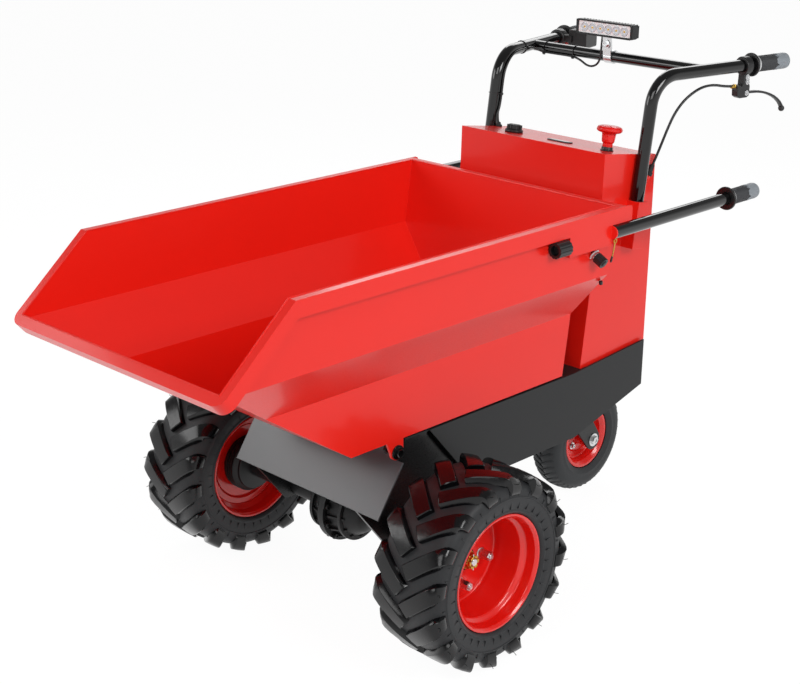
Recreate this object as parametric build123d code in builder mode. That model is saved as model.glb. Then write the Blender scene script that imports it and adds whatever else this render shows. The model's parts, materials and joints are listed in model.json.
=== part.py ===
from build123d import *
from math import atan2, cos, hypot, radians, sin, sqrt, tan
import os

os.makedirs("parts", exist_ok=True)

# Electric walk-behind mini dumper, millimetres, +Z up.
# The open mouth of the hopper faces -Y and the operator walks behind at +Y.
# The ground is z = 0 and the machine's left side is +X.

# ---- drive wheels -----------------------------------------------------
tyre_radius = 203.0        # over the lugs
tyre_width = 170.0         # over the lug ends
carcass_radius = 190.0     # crown between the lugs
sidewall_half = 79.0       # widest point of the carcass from its middle
shoulder_radius = 179.0
lug_pairs = 16
lug_width = 31.0
lug_angle = 39.0           # from the axle's direction
lug_skirt = 26.0           # how far a lug runs down the shoulder
rim_radius = 121.0         # outside of the rim flange
rim_half_width = 72.0
rim_seat_radius = 115.5    # outside of the seat under the tyre's bead
rim_seat_width = 20.0
rim_well_radius = 104.0
rim_wall = 3.5
tyre_facets = 42
disc_offset = 27.0         # wheel disc, inboard of the wheel's middle
disc_face_radius = 84.0    # raised flat of the disc
disc_step = 6.0
wheel_middle_x = 358.0
axle_y = -265.0
bolt_circle = 106.0
bolt_turn = -8.6           # degrees, from straight back
stud_radius = 5.0
stud_clearance = 0.6
wheel_nut_flats = 17.0
wheel_nut_height = 30.0
drum_radius = 62.0
drum_width = 46.0
hub_nose_radius = 24.0
hub_bore_clearance = 0.5
hub_nut_height = 20.0

# ---- transaxle --------------------------------------------------------
axle_tube_radius = 23.0
running_gap = 0.5
gear_case_radius = 64.0
gear_case_half = 46.0
case_flange_radius = 74.0
case_flange_width = 8.0
motor_radius = 52.0
motor_length = 150.0
motor_back = 118.0         # motor axis behind the axle
motor_rise = 14.0
motor_cap = 12.0
motor_cap_step = 10.0
motor_fins = 20
motor_fin_height = 3.0
motor_fin_width = 3.0
motor_end_bell = 26.0      # plain band at either end of the fins

# ---- chassis ----------------------------------------------------------
chassis_half = 214.0       # outside of the side plates
chassis_sheet = 4.0
deck_z = 431.0             # top of the deck
side_front_y = -239.0
side_low_front_y = -103.0
side_low_rear_y = 231.0
side_low_z = 276.0
side_rear_y = 473.0
side_rear_low_z = 340.0
side_kink_y = 225.0
side_rear_top_z = 448.0
guard_top_y = -314.0       # sloping front guard plate
guard_top_z = 383.0
guard_low_y = -383.0
guard_low_z = 280.0
carrier_x = 150.0          # middle of an axle hanger plate
carrier_sheet = 8.0
carrier_rear_y = -205.0
saddle_radius = 38.0
pad_height_gap = 0.3
pad_radius = 16.0
pad_y = 113.0
pad_x = 150.0

# ---- tipping pivot ----------------------------------------------------
pivot_y = -329.0
pivot_z = 410.0
pivot_pin_radius = 8.0
pivot_clearance = 0.15
lug_plate = 6.0
ear_inset = 8.0            # inner face of the hopper's pivot ear, from its side
ear_radius = 17.0
ear_swing_gap = 7.0        # the deck starts this far behind the ears
bracket_plate = 6.0
bracket_gap = 0.5
pin_washer_radius = 15.0
pin_washer = 3.0
pin_head_radius = 9.0
pin_head_height = 7.0
gusset_low_z = 278.0
gusset_rear_y = -103.0
bracket_corner = 20.0

# ---- hopper -----------------------------------------------------------
sheet = 3.0
hopper_top_z = 820.0
hopper_half = 294.5        # outside of the upper side walls
band_top_z = 676.0
band_low_z = 574.0
hopper_low_half = 214.5
floor_z = 436.0            # underside of the floor
floor_rear_y = 176.0
floor_front_y = -455.0
rear_top_y = 229.0         # outside of the rear wall at the top
mouth_top_y = -675.0
mouth_low_y = -845.0       # foremost edge of the lip
mouth_low_z = 671.5
hem_width = 18.5
hem_depth = 33.0
hem_sheet = 3.0
mouth_hem_depth = 28.0
lip_hem = 22.0
lip_corner_radius = 25.0

# ---- tipping handles --------------------------------------------------
tube_radius = 14.0
tube_wall = 2.0
tip_handle_z = 772.0
tip_handle_front_y = 198.0
tip_handle_rear_y = 724.0
handle_block_front_y = 59.0
handle_block_drop = 42.0   # below the hem
handle_wall_gap = 2.0
handle_end_plate = 3.0
hem_tail_y = 263.0         # rear end of the side hems
hem_tail_corner = 8.0
tip_grip_length = 113.0
bar_grip_length = 110.0
throttle_grip_length = 84.0
grip_wall = 3.6
grip_fit = 0.15
grip_cap = 4.0
grip_flange_radius = 27.0
grip_flange_width = 5.0

# ---- cabinet ----------------------------------------------------------
cabinet_half = 205.0
cabinet_sheet = 2.5
cabinet_front_low_y = 250.0
cabinet_break_z = 814.0    # the front leans below this line
cabinet_break_y = 297.0
cabinet_front_top_y = 299.0
cabinet_front_top_z = 903.0
cabinet_rear_y = 483.0
cabinet_rear_top_z = 876.0
door_sheet = 2.5
door_margin = 22.0
sleeve_size = 36.0
sleeve_top_z = 786.0
sleeve_low_z = 684.0
sleeve_floor = 8.0
tube_fit = 0.15

# ---- handlebar --------------------------------------------------------
riser_top_y = 442.0
riser_top_z = 1052.0
riser_lean = 8.1           # degrees back from upright
riser_gap = 0.5            # between a riser and the cabinet's side
bar_splay = 11.0           # degrees outward from +Y
bar_length = 399.0         # corner to bar end
bend_radius = 70.0
crossbar_radius = 12.5
crossbar_along = 158.0      # from the corner, along the bar
crossbar_drop = 2.0
bar_rise = 0.3             # degrees up

# ---- controls on the bars ---------------------------------------------
perch_along = 271.0
perch_width = 20.0
perch_radius = 21.0
perch_reach = 24.0         # the perch's block, ahead of its clamp
lever_radius = 5.5         # rounded end of the brake lever
lever_thick = 7.0
lever_width = 13.0
throttle_along = 289.0
throttle_width = 26.0
display_in = 54.0          # display box, inboard of the bar
display_width = 50.0
display_length = 60.0
display_height = 45.0
thumb_lever_width = 12.0
thumb_lever_length = 40.0
cable_radius = 3.0
gland_radius = 6.0
cable_in_forward = 29.0    # cable gland, ahead of the cabinet's rear
cable_in_drop = 37.0       # and below its rear top edge
wire_radius = 2.5
held_gap = 0.3             # a held wire from the tube it lies on
wire_in_y = 417.0          # where the lamp wire enters the cabinet's top

# ---- lamp -------------------------------------------------------------
lamp_x = -17.0
lamp_length = 156.0
lamp_height = 35.0
lamp_depth = 26.0
lamp_front_y = 565.0
lamp_middle_z = 1116.0
lamp_fin_count = 19
lamp_fin = 3.0
lamp_rim = 4.0
lamp_bezel = 9.0
lens_recess = 2.0
lens_sheet = 3.0
clip_sheet = 3.0
clip_width = 22.0

# ---- hopper latch -----------------------------------------------------
latch_knob_y = 9.0         # foremost face
latch_knob_radius = 16.5
latch_knob_length = 38.0
latch_pin_y = 156.0
latch_pin_z = 732.0
latch_pin_radius = 11.5
latch_pin_tilt = 28.0       # degrees below level

# ---- controls on the cabinet ------------------------------------------
control_y = 364.0
stop_knob_x = 160.0
stop_neck_radius = 11.0
stop_head_radius = 28.0
key_cap_x = -104.0
gauge_x = 30.0

# ---- caster -----------------------------------------------------------
caster_radius = 137.0
caster_width = 80.0
caster_facets = 36
caster_rim_radius = 77.0
caster_rim_wall = 4.0
caster_well_radius = 66.0
caster_y = 517.0
caster_trail = 96.0
caster_fork_sheet = 6.0
caster_side_gap = 7.0
caster_crown_z = 274.0     # top of the fork's crown
caster_crown_sheet = 8.0
caster_plate_sheet = 8.0
caster_axle_radius = 10.0
caster_head_radius = 11.0  # bolt heads over the fork's legs
caster_head = 9.0
swivel_radius = 30.0
swivel_height = 14.0
caster_post = 96.0

# ---- derived frames ---------------------------------------------------
wheel_z = tyre_radius
left_wheel = Plane(origin=(wheel_middle_x, axle_y, wheel_z), x_dir=(0, 1, 0), z_dir=(1, 0, 0))

lean = radians(riser_lean)
splay = radians(bar_splay)
riser_x = cabinet_half + tube_radius + riser_gap
lug_plate_x = hopper_low_half - ear_inset
hem_low_z = hopper_top_z - hem_depth
tip_handle_x = hopper_half + handle_wall_gap + tube_radius
rise = radians(bar_rise)
bar_dir = Vector(sin(splay) * cos(rise), cos(splay) * cos(rise), sin(rise))
bar_corner = Vector(riser_x, riser_top_y, riser_top_z)
riser_dir = Vector(0, sin(lean), cos(lean))


def riser_point(z):
    """Point of the riser's centre line at height z."""
    return bar_corner - riser_dir * ((riser_top_z - z) / cos(lean))


def bar_point(along, side=1):
    """Point of an upper bar's centre line, measured from its corner."""
    point = bar_corner + bar_dir * along
    return Vector(side * point.X, point.Y, point.Z)


def bar_plane(along, side=1):
    """Plane square to an upper bar, its Z pointing at the operator."""
    direction = Vector(side * bar_dir.X, bar_dir.Y, bar_dir.Z)
    return Plane(origin=bar_point(along, side), x_dir=(cos(splay), -side * sin(splay), 0), z_dir=direction)


def finish(builder, name):
    """Label a piece and write it."""
    builder.part.label = name
    export_step(builder.part, f"parts/{name}.step")


def mirrored(builder, name):
    """The right-hand twin of a left-hand piece."""
    with BuildPart() as twin:
        mirror(builder.part, about=Plane.YZ)
    finish(twin, name)


# =======================================================================
# Drive wheels, built about their own axis, whose +Z points outboard
# =======================================================================
seat_end = rim_half_width - 6.0
seat_start = seat_end - rim_seat_width
well_half = seat_start - 7.0
tread_half = tyre_width / 2
fit = 0.3
tyre_outside = [
    (shoulder_radius - 14.0, sidewall_half),
    (shoulder_radius, sidewall_half - 7.0),
    (carcass_radius, sidewall_half - 34.0),
]
tyre_bore = [
    (rim_radius + 18.0, sidewall_half),
    (rim_radius + 3.0, seat_end),
    (rim_seat_radius + fit, seat_end),
    (rim_seat_radius + fit, seat_start),
    (rim_well_radius + fit, well_half),
]


def faceted(section, facets, across_flats):
    """A solid turned in flat facets from the (radius, height) pairs of its upper half."""
    whole = [(radius, -height) for radius, height in section] + section[::-1]
    with BuildPart() as turned:
        for (low_radius, low), (high_radius, high) in zip(whole, whole[1:]):
            if high > low:
                with BuildSketch(Plane.XY.offset(low)):
                    RegularPolygon(low_radius, facets, major_radius=not across_flats)
                with BuildSketch(Plane.XY.offset(high)):
                    RegularPolygon(high_radius, facets, major_radius=not across_flats)
                loft(ruled=True)
    return turned.part


with BuildPart() as tyre_blank:
    add(faceted(tyre_outside, tyre_facets, False))
    add(faceted(tyre_bore, tyre_facets, True), mode=Mode.SUBTRACT)

# One lug is a bar from the crown's middle to the shoulder, where it turns down the side.
lug_turn = radians(lug_angle)
lug_half = (tread_half - lug_width * sin(lug_turn)) / 2 / cos(lug_turn)
lug_swing = lug_half * sin(lug_turn) + lug_width / 2 * cos(lug_turn)
lug_top = sqrt(tyre_radius ** 2 - lug_swing ** 2)
lug_root = carcass_radius - 12.0
lug_bars = {}
for side in (1, -1):
    arm_plane = Plane(
        origin=(0, 0, side * tread_half / 2),
        x_dir=(0, -sin(lug_turn), side * cos(lug_turn)),
        z_dir=(0, side * cos(lug_turn), sin(lug_turn)),
    )
    with BuildPart() as lug_bar:
        with BuildSketch(arm_plane):
            with BuildLine():
                radial = 1 if arm_plane.y_dir.X > 0 else -1
                Polyline(
                    (-lug_half, radial * lug_root),
                    (-lug_half, radial * lug_top),
                    (lug_half - 8.0, radial * lug_top),
                    (lug_half, radial * (lug_top - 9.0)),
                    (lug_half, radial * (lug_top - lug_skirt)),
                    (lug_half - 10.0, radial * (lug_top - lug_skirt - 10.0)),
                    close=True,
                )
            make_face()
        extrude(amount=lug_width / 2, both=True)
    lug_bars[side] = lug_bar.part

with BuildPart() as treaded:
    add(tyre_blank.part)
    with PolarLocations(0, lug_pairs):
        add(lug_bars[1])
    with PolarLocations(0, lug_pairs, start_angle=180.0 / lug_pairs):
        add(lug_bars[-1])

with BuildPart(left_wheel) as tyre_left:
    with Locations((0, 0, 0)):
        add(treaded.part)
finish(tyre_left, "tyre_left")
mirrored(tyre_left, "tyre_right")

# Rim: rolled lips, bead seats, the well and a deep-set disc with a raised face.
disc_z = -disc_offset
disc_bore = hub_nose_radius + hub_bore_clearance
disc_front = disc_z + rim_wall / 2
disc_back = disc_z - rim_wall / 2
seat_in = rim_seat_radius - rim_wall
well_in = rim_well_radius - rim_wall
with BuildPart() as rim_blank:
    with BuildSketch(Plane.XZ):
        with BuildLine():
            Polyline(
                (rim_radius, rim_half_width),
                (rim_radius, rim_half_width - rim_wall),
                (rim_seat_radius, seat_end + 0.5),
                (rim_seat_radius, seat_start),
                (rim_well_radius, well_half),
                (rim_well_radius, -well_half),
                (rim_seat_radius, -seat_start),
                (rim_seat_radius, -seat_end - 0.5),
                (rim_radius, -rim_half_width + rim_wall),
                (rim_radius, -rim_half_width),
                (rim_radius - 4.0, -rim_half_width),
                (seat_in, -seat_end - 3.0),
                (seat_in, -seat_start + 1.5),
                (well_in, -well_half + 1.5),
                (well_in, disc_back - disc_step),
                (disc_face_radius + 4.0, disc_back - disc_step),
                (disc_face_radius, disc_back),
                (disc_bore, disc_back),
                (disc_bore, disc_front),
                (disc_face_radius + 1.5, disc_front),
                (disc_face_radius + 5.5, disc_front - disc_step),
                (well_in, disc_front - disc_step),
                (well_in, well_half - 1.5),
                (seat_in, seat_start - 1.5),
                (seat_in, seat_end + 3.0),
                (rim_radius - 4.0, rim_half_width),
                close=True,
            )
        make_face()
    revolve(axis=Axis.Z)
    with BuildSketch(Plane.XY.offset(disc_z)):
        with PolarLocations(bolt_circle / 2, 4, start_angle=bolt_turn):
            Circle(stud_radius + stud_clearance)
    extrude(amount=rim_wall, both=True, mode=Mode.SUBTRACT)

with BuildPart(left_wheel) as rim_left:
    with Locations((0, 0, 0)):
        add(rim_blank.part)
finish(rim_left, "rim_left")
mirrored(rim_left, "rim_right")

# Hub: brake drum behind the disc, studs with nuts and the axle nut in front.
drum_back = disc_back - drum_width
with BuildPart() as hub_blank:
    with BuildSketch(Plane.XZ):
        with BuildLine():
            Polyline(
                (0, disc_front + 12.0),
                (hub_nose_radius - 4.0, disc_front + 12.0),
                (hub_nose_radius, disc_front + 8.0),
                (hub_nose_radius, disc_back),
                (drum_radius - 1.0, disc_back),
                (drum_radius - 1.0, drum_back + 14.0),
                (drum_radius - 9.0, drum_back + 6.0),
                (drum_radius - 9.0, drum_back),
                (0, drum_back),
                close=True,
            )
        make_face()
    revolve(axis=Axis.Z)
    with BuildSketch(Plane.XY.offset(disc_back)):
        with PolarLocations(bolt_circle / 2, 4, start_angle=bolt_turn):
            Circle(stud_radius)
    extrude(amount=rim_wall + wheel_nut_height + 2.0)
    with BuildSketch(Plane.XY.offset(disc_front)):
        with PolarLocations(bolt_circle / 2, 4, start_angle=bolt_turn):
            RegularPolygon(wheel_nut_flats / 2, 6, major_radius=False)
    extrude(amount=wheel_nut_height)
    with BuildSketch(Plane.XY.offset(disc_front + 12.0)):
        RegularPolygon(15.0, 6, major_radius=False)
    extrude(amount=hub_nut_height)

with BuildPart(left_wheel) as hub_left:
    with Locations((0, 0, 0)):
        add(hub_blank.part)
finish(hub_left, "hub_left")
mirrored(hub_left, "hub_right")

# =======================================================================
# Transaxle: gear case with bolted flanges, axle tubes and the motor behind
# =======================================================================
axle_half = wheel_middle_x + drum_back - running_gap
axle_frame = Plane(origin=(0, axle_y, wheel_z), x_dir=(0, 1, 0), z_dir=(1, 0, 0))
motor_y = axle_y + motor_back
motor_z = wheel_z + motor_rise
with BuildPart() as transaxle:
    with BuildSketch(Plane(origin=(0, axle_y, wheel_z), x_dir=(1, 0, 0), z_dir=(0, -1, 0))):
        with BuildLine():
            Polyline(
                (-axle_half, 0),
                (-axle_half, axle_tube_radius),
                (-gear_case_half - 34.0, axle_tube_radius),
                (-gear_case_half - 24.0, axle_tube_radius + 14.0),
                (-gear_case_half, gear_case_radius - 12.0),
                (-gear_case_half, gear_case_radius - 2.0),
                (-gear_case_half + case_flange_width, gear_case_radius - 2.0),
                (-gear_case_half + case_flange_width, gear_case_radius - 9.0),
                (-case_flange_width, gear_case_radius - 4.0),
                (-case_flange_width, case_flange_radius),
                (case_flange_width, case_flange_radius),
                (case_flange_width, gear_case_radius - 4.0),
                (gear_case_half - case_flange_width, gear_case_radius - 9.0),
                (gear_case_half - case_flange_width, gear_case_radius - 2.0),
                (gear_case_half, gear_case_radius - 2.0),
                (gear_case_half, gear_case_radius - 12.0),
                (gear_case_half + 24.0, axle_tube_radius + 14.0),
                (gear_case_half + 34.0, axle_tube_radius),
                (axle_half, axle_tube_radius),
                (axle_half, 0),
                close=True,
            )
        make_face()
    revolve(axis=Axis((0, axle_y, wheel_z), (1, 0, 0)))
    # drive case that carries the motor beside the gears
    with BuildSketch(axle_frame.offset(-case_flange_width)):
        with BuildLine():
            Polyline(
                (0, gear_case_radius - 8.0),
                (motor_back, motor_rise + motor_radius - 4.0),
                (motor_back + motor_radius * 0.6, motor_rise),
                (motor_back, motor_rise - motor_radius + 4.0),
                (0, -gear_case_radius + 8.0),
                close=True,
            )
        make_face()
    extrude(amount=2 * case_flange_width)
finish(transaxle, "transaxle")

motor_face = -case_flange_width
motor_fin_x = motor_face - motor_end_bell
with BuildPart() as drive_motor:
    with BuildSketch(Plane(origin=(motor_face, motor_y, motor_z), x_dir=(0, 1, 0), z_dir=(-1, 0, 0))):
        Circle(motor_radius)
    extrude(amount=motor_length)
    with BuildSketch(Plane(origin=(motor_fin_x, motor_y, motor_z), x_dir=(0, 1, 0), z_dir=(-1, 0, 0))):
        with PolarLocations(motor_radius, motor_fins):
            Rectangle(2 * motor_fin_height, motor_fin_width)
    extrude(amount=motor_length - 2 * motor_end_bell)
    with BuildSketch(Plane(origin=(motor_face - motor_length, motor_y, motor_z), x_dir=(0, 1, 0), z_dir=(-1, 0, 0))):
        Circle(motor_radius - motor_cap_step)
    extrude(amount=motor_cap)
finish(drive_motor, "drive_motor")

# =======================================================================
# Chassis
# =======================================================================
deck_front = pivot_y + ear_radius + ear_swing_gap
side_outline = [
    (side_front_y, deck_z),
    (side_kink_y, deck_z),
    (side_rear_y, side_rear_top_z),
    (side_rear_y, side_rear_low_z),
    (side_low_rear_y, side_low_z),
    (side_low_front_y, side_low_z),
]
with BuildPart() as chassis_frame:
    for side in (1, -1):
        with BuildSketch(Plane.YZ.offset(side * chassis_half)):
            with BuildLine():
                Polyline(*side_outline, close=True)
            make_face()
        extrude(amount=-side * chassis_sheet)
    with BuildSketch(Plane.XY.offset(deck_z)):
        with Locations((0, (deck_front + side_rear_y) / 2)):
            Rectangle(2 * (chassis_half - chassis_sheet), side_rear_y - deck_front)
    extrude(amount=-chassis_sheet)
    # rear cross panel closes the channel behind the caster
    with BuildSketch(Plane.XZ.offset(-side_rear_y)):
        with Locations((0, (side_rear_low_z + deck_z) / 2)):
            Rectangle(2 * (chassis_half - chassis_sheet), deck_z - side_rear_low_z)
    extrude(amount=chassis_sheet)
    # box post that carries the caster under the deck
    with BuildSketch(Plane.XY.offset(caster_crown_z + swivel_height + caster_plate_sheet)):
        with Locations((0, caster_y - caster_trail)):
            Rectangle(caster_post, caster_post)
            Rectangle(caster_post - 2 * chassis_sheet, caster_post - 2 * chassis_sheet, mode=Mode.SUBTRACT)
    extrude(until=Until.NEXT)
finish(chassis_frame, "chassis_frame")

guard_run = Vector(0, guard_low_y - guard_top_y, guard_low_z - guard_top_z)
guard_long = guard_run.length
guard_plane = Plane(
    origin=(0, (guard_top_y + guard_low_y) / 2, (guard_top_z + guard_low_z) / 2),
    x_dir=(1, 0, 0),
    z_dir=(0, guard_run.Z / guard_long, -guard_run.Y / guard_long),
)
guard_back = guard_plane.z_dir * -chassis_sheet
flange_half = lug_plate_x - bracket_gap - 2 * bracket_plate - 0.5
with BuildPart() as front_guard:
    with BuildSketch(guard_plane):
        Rectangle(2 * chassis_half, guard_long)
    extrude(amount=-chassis_sheet)
    # flange folded up from the guard's top edge to the front of the deck
    with BuildSketch(Plane.YZ.offset(-flange_half)):
        with BuildLine():
            Polyline(
                (guard_top_y, guard_top_z),
                (deck_front - chassis_sheet - 0.5, deck_z - 1.0),
                (deck_front - 0.5, deck_z - 1.0),
                (guard_top_y + guard_back.Y - 0.2, guard_top_z + guard_back.Z),
                close=True,
            )
        make_face()
    extrude(amount=2 * flange_half)
finish(front_guard, "front_guard")

guard_run_back = 44.0      # length of the gusset's sloped lower corners
with BuildPart() as axle_carrier:
    for side in (1, -1):
        with BuildSketch(Plane.YZ.offset(side * (carrier_x + carrier_sheet / 2))):
            with BuildLine():
                Polyline(
                    (deck_front, deck_z - chassis_sheet),
                    (carrier_rear_y, deck_z - chassis_sheet),
                    (carrier_rear_y, wheel_z + 60.0),
                    (axle_y + saddle_radius, wheel_z - 20.0),
                    (axle_y - saddle_radius, wheel_z - 20.0),
                    (guard_low_y + guard_back.Y, guard_low_z + guard_back.Z),
                    (guard_top_y + guard_back.Y, guard_top_z + guard_back.Z),
                    close=True,
                )
            make_face()
            with Locations((axle_y, wheel_z)):
                Circle(axle_tube_radius + 0.1, mode=Mode.SUBTRACT)
        extrude(amount=-side * carrier_sheet)
    with BuildSketch(Plane.XY.offset(deck_z - chassis_sheet)):
        with Locations((0, (deck_front + carrier_rear_y) / 2)):
            Rectangle(2 * carrier_x, carrier_rear_y - deck_front)
    extrude(amount=-carrier_sheet)
finish(axle_carrier, "axle_carrier")

pad_top = floor_z - pad_height_gap
with BuildPart() as rest_pads:
    with BuildSketch(Plane.XY.offset(deck_z)):
        with Locations((pad_x, pad_y), (-pad_x, pad_y)):
            Circle(pad_radius)
    extrude(amount=pad_top - deck_z)
finish(rest_pads, "rest_pads")

# Pivot brackets: an outer plate round the pin and, behind it, a wide gusset that
# runs down the back of the guard and rearward inside the side plate.
bracket_out = lug_plate_x - bracket_gap
gusset_out = bracket_out - bracket_plate
with BuildPart() as pivot_bracket_left:
    with BuildSketch(Plane.YZ.offset(bracket_out)) as bracket_outline:
        with BuildLine():
            Polyline(
                (side_front_y, deck_z - chassis_sheet),
                (pivot_y, deck_z - chassis_sheet),
                (pivot_y - 16.0, pivot_z),
                (pivot_y, pivot_z - 16.0),
                (side_front_y, pivot_z - 20.0),
                close=True,
            )
        make_face()
        fillet(bracket_outline.vertices().group_by(Axis.Y)[0], bracket_corner)
        with Locations((pivot_y, pivot_z)):
            Circle(pivot_pin_radius + pivot_clearance, mode=Mode.SUBTRACT)
    extrude(amount=-bracket_plate)
    with BuildSketch(Plane.YZ.offset(gusset_out)):
        with BuildLine():
            Polyline(
                (gusset_rear_y, deck_z - chassis_sheet),
                (deck_front, deck_z - chassis_sheet),
                (pivot_y - 16.0, pivot_z),
                (guard_top_y + guard_back.Y, guard_top_z + guard_back.Z),
                (guard_low_y + guard_back.Y, guard_low_z + guard_back.Z),
                (guard_low_y + guard_run_back, gusset_low_z),
                (gusset_rear_y - guard_run_back, gusset_low_z),
                (gusset_rear_y, side_low_z),
                close=True,
            )
        make_face()
        with Locations((pivot_y, pivot_z)):
            Circle(pivot_pin_radius + pivot_clearance, mode=Mode.SUBTRACT)
    extrude(amount=-bracket_plate)
finish(pivot_bracket_left, "pivot_bracket_left")
mirrored(pivot_bracket_left, "pivot_bracket_right")

pin_in = gusset_out - bracket_plate
pin_out = lug_plate_x + lug_plate + 0.5
with BuildPart() as tip_pin_left:
    with BuildSketch(Plane.YZ.offset(pin_in - 10.0)):
        with Locations((pivot_y, pivot_z)):
            Circle(pivot_pin_radius)
    extrude(amount=pin_out - pin_in + 10.0)
    with BuildSketch(Plane.YZ.offset(pin_out)):
        with Locations((pivot_y, pivot_z)):
            Circle(pin_washer_radius)
    extrude(amount=pin_washer)
    with BuildSketch(Plane.YZ.offset(pin_out + pin_washer)):
        with Locations((pivot_y, pivot_z)):
            RegularPolygon(pin_head_radius, 6)
    extrude(amount=pin_head_height)
    with BuildSketch(Plane.YZ.offset(pin_in - 0.3)):
        with Locations((pivot_y, pivot_z)):
            RegularPolygon(pivot_pin_radius + 5.0, 6)
    extrude(amount=-pin_head_height)
finish(tip_pin_left, "tip_pin_left")
mirrored(tip_pin_left, "tip_pin_right")

# =======================================================================
# Hopper
# =======================================================================
mouth_run = hypot(mouth_low_y - mouth_top_y, hopper_top_z - mouth_low_z)
mouth_up = Vector(0, (mouth_top_y - mouth_low_y) / mouth_run, (hopper_top_z - mouth_low_z) / mouth_run)
mouth_out = Vector(0, -mouth_up.Z, mouth_up.Y)
mouth_plane = Plane(origin=(0, mouth_top_y, hopper_top_z), x_dir=(1, 0, 0), z_dir=mouth_out)
lip_along = mouth_run - lip_hem + sheet
lip_y = mouth_top_y - lip_along * mouth_up.Y
lip_z = hopper_top_z - lip_along * mouth_up.Z

with BuildPart() as hopper_shell:
    with BuildSketch(Plane.XZ.offset(-rear_top_y - 20.0)):
        with BuildLine():
            Polyline(
                (hopper_half, hopper_top_z),
                (hopper_half, band_top_z),
                (hopper_low_half, band_low_z),
                (hopper_low_half, floor_z),
                (-hopper_low_half, floor_z),
                (-hopper_low_half, band_low_z),
                (-hopper_half, band_top_z),
                (-hopper_half, hopper_top_z),
                close=True,
            )
        make_face()
    extrude(amount=rear_top_y - mouth_low_y + 40.0)
    with BuildSketch(Plane.YZ):
        with BuildLine():
            Polyline(
                (floor_rear_y, floor_z),
                (floor_front_y, floor_z),
                (lip_y, lip_z),
                (mouth_top_y, hopper_top_z),
                (rear_top_y, hopper_top_z),
                close=True,
            )
        make_face()
    extrude(amount=hopper_half + 10.0, both=True, mode=Mode.INTERSECT)
    top_face = hopper_shell.faces().sort_by(Axis.Z)[-1]
    mouth_face = [f for f in hopper_shell.faces() if (f.normal_at() - mouth_out).length < 0.01][0]
    offset(amount=-sheet, openings=[top_face, mouth_face], kind=Kind.INTERSECTION)

inner_half = hopper_half - sheet
rear_lean = (rear_top_y - floor_rear_y) / (hopper_top_z - floor_z)
rear_inner_y = rear_top_y - sheet * sqrt(1 + rear_lean ** 2)
hem_half = inner_half + hem_width
with BuildPart() as rim_hem:
    # top edge: a strip folded outward and down on both sides and the rear
    with BuildSketch(Plane.XY.offset(hopper_top_z)):
        with BuildLine():
            Polyline(
                (hem_half, mouth_top_y),
                (hem_half, rear_inner_y + hem_width),
                (-hem_half, rear_inner_y + hem_width),
                (-hem_half, mouth_top_y),
                (-inner_half, mouth_top_y),
                (-inner_half, rear_inner_y),
                (inner_half, rear_inner_y),
                (inner_half, mouth_top_y),
                close=True,
            )
        make_face()
    extrude(amount=-hem_sheet)
    with BuildSketch(Plane.XY.offset(hopper_top_z)):
        with BuildLine():
            Polyline(
                (hem_half, mouth_top_y),
                (hem_half, rear_inner_y + hem_width),
                (-hem_half, rear_inner_y + hem_width),
                (-hem_half, mouth_top_y),
                (-hem_half + hem_sheet, mouth_top_y),
                (-hem_half + hem_sheet, rear_inner_y + hem_width - hem_sheet),
                (hem_half - hem_sheet, rear_inner_y + hem_width - hem_sheet),
                (hem_half - hem_sheet, mouth_top_y),
                close=True,
            )
        make_face()
    extrude(amount=-hem_depth)
    # front edge: the same fold round the open mouth, with rounded lower corners
    with BuildSketch(mouth_plane) as mouth_frame:
        with Locations((0, -mouth_run / 2)):
            Rectangle(2 * hem_half, mouth_run)
        fillet(mouth_frame.vertices().group_by(Axis.Y)[0], lip_corner_radius)
        with Locations((0, -(mouth_run - lip_hem) / 2)):
            Rectangle(2 * inner_half, mouth_run - lip_hem, mode=Mode.SUBTRACT)
    extrude(amount=-hem_sheet)
    with BuildSketch(mouth_plane) as mouth_return:
        with Locations((0, -mouth_run / 2)):
            Rectangle(2 * hem_half, mouth_run)
        fillet(mouth_return.vertices().group_by(Axis.Y)[0], lip_corner_radius)
        with BuildSketch(mouth_plane, mode=Mode.SUBTRACT) as mouth_return_in:
            with Locations((0, (hem_sheet - mouth_run) / 2 + 5.0)):
                Rectangle(2 * (hem_half - hem_sheet), mouth_run - hem_sheet + 10.0)
            fillet(mouth_return_in.vertices().group_by(Axis.Y)[0], lip_corner_radius - hem_sheet)
    extrude(amount=-mouth_hem_depth)

# The side hems run on behind the rear wall, and a block below each takes the handle.
handle_block_low_z = hem_low_z - handle_block_drop
with BuildPart() as hem_tail:
    for side in (1, -1):
        with BuildSketch(Plane.YZ.offset(side * hem_half)):
            with BuildLine():
                Polyline(
                    (rear_top_y - 20.0, hem_low_z),
                    (hem_tail_y, hem_low_z),
                    (hem_tail_y, hopper_top_z - hem_tail_corner),
                    (hem_tail_y - 0.3 * hem_tail_corner, hopper_top_z - 0.3 * hem_tail_corner),
                    (hem_tail_y - hem_tail_corner, hopper_top_z),
                    (rear_top_y - 20.0, hopper_top_z),
                    close=True,
                )
            make_face()
        extrude(amount=-side * hem_sheet)
        with BuildSketch(Plane.YZ.offset(side * hopper_half)):
            with Locations(((handle_block_front_y + tip_handle_front_y) / 2, (hem_low_z + handle_block_low_z) / 2)):
                Rectangle(tip_handle_front_y - handle_block_front_y, handle_block_drop)
        extrude(amount=side * (hem_half - hopper_half))
        # round end plate that closes the handle's tube
        with BuildSketch(Plane.XZ.offset(-tip_handle_front_y)):
            with Locations((side * tip_handle_x, tip_handle_z)):
                Circle(tube_radius)
            with Locations((side * hem_half, tip_handle_z)):
                Rectangle(2.0, tube_radius)
        extrude(amount=handle_end_plate)

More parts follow.
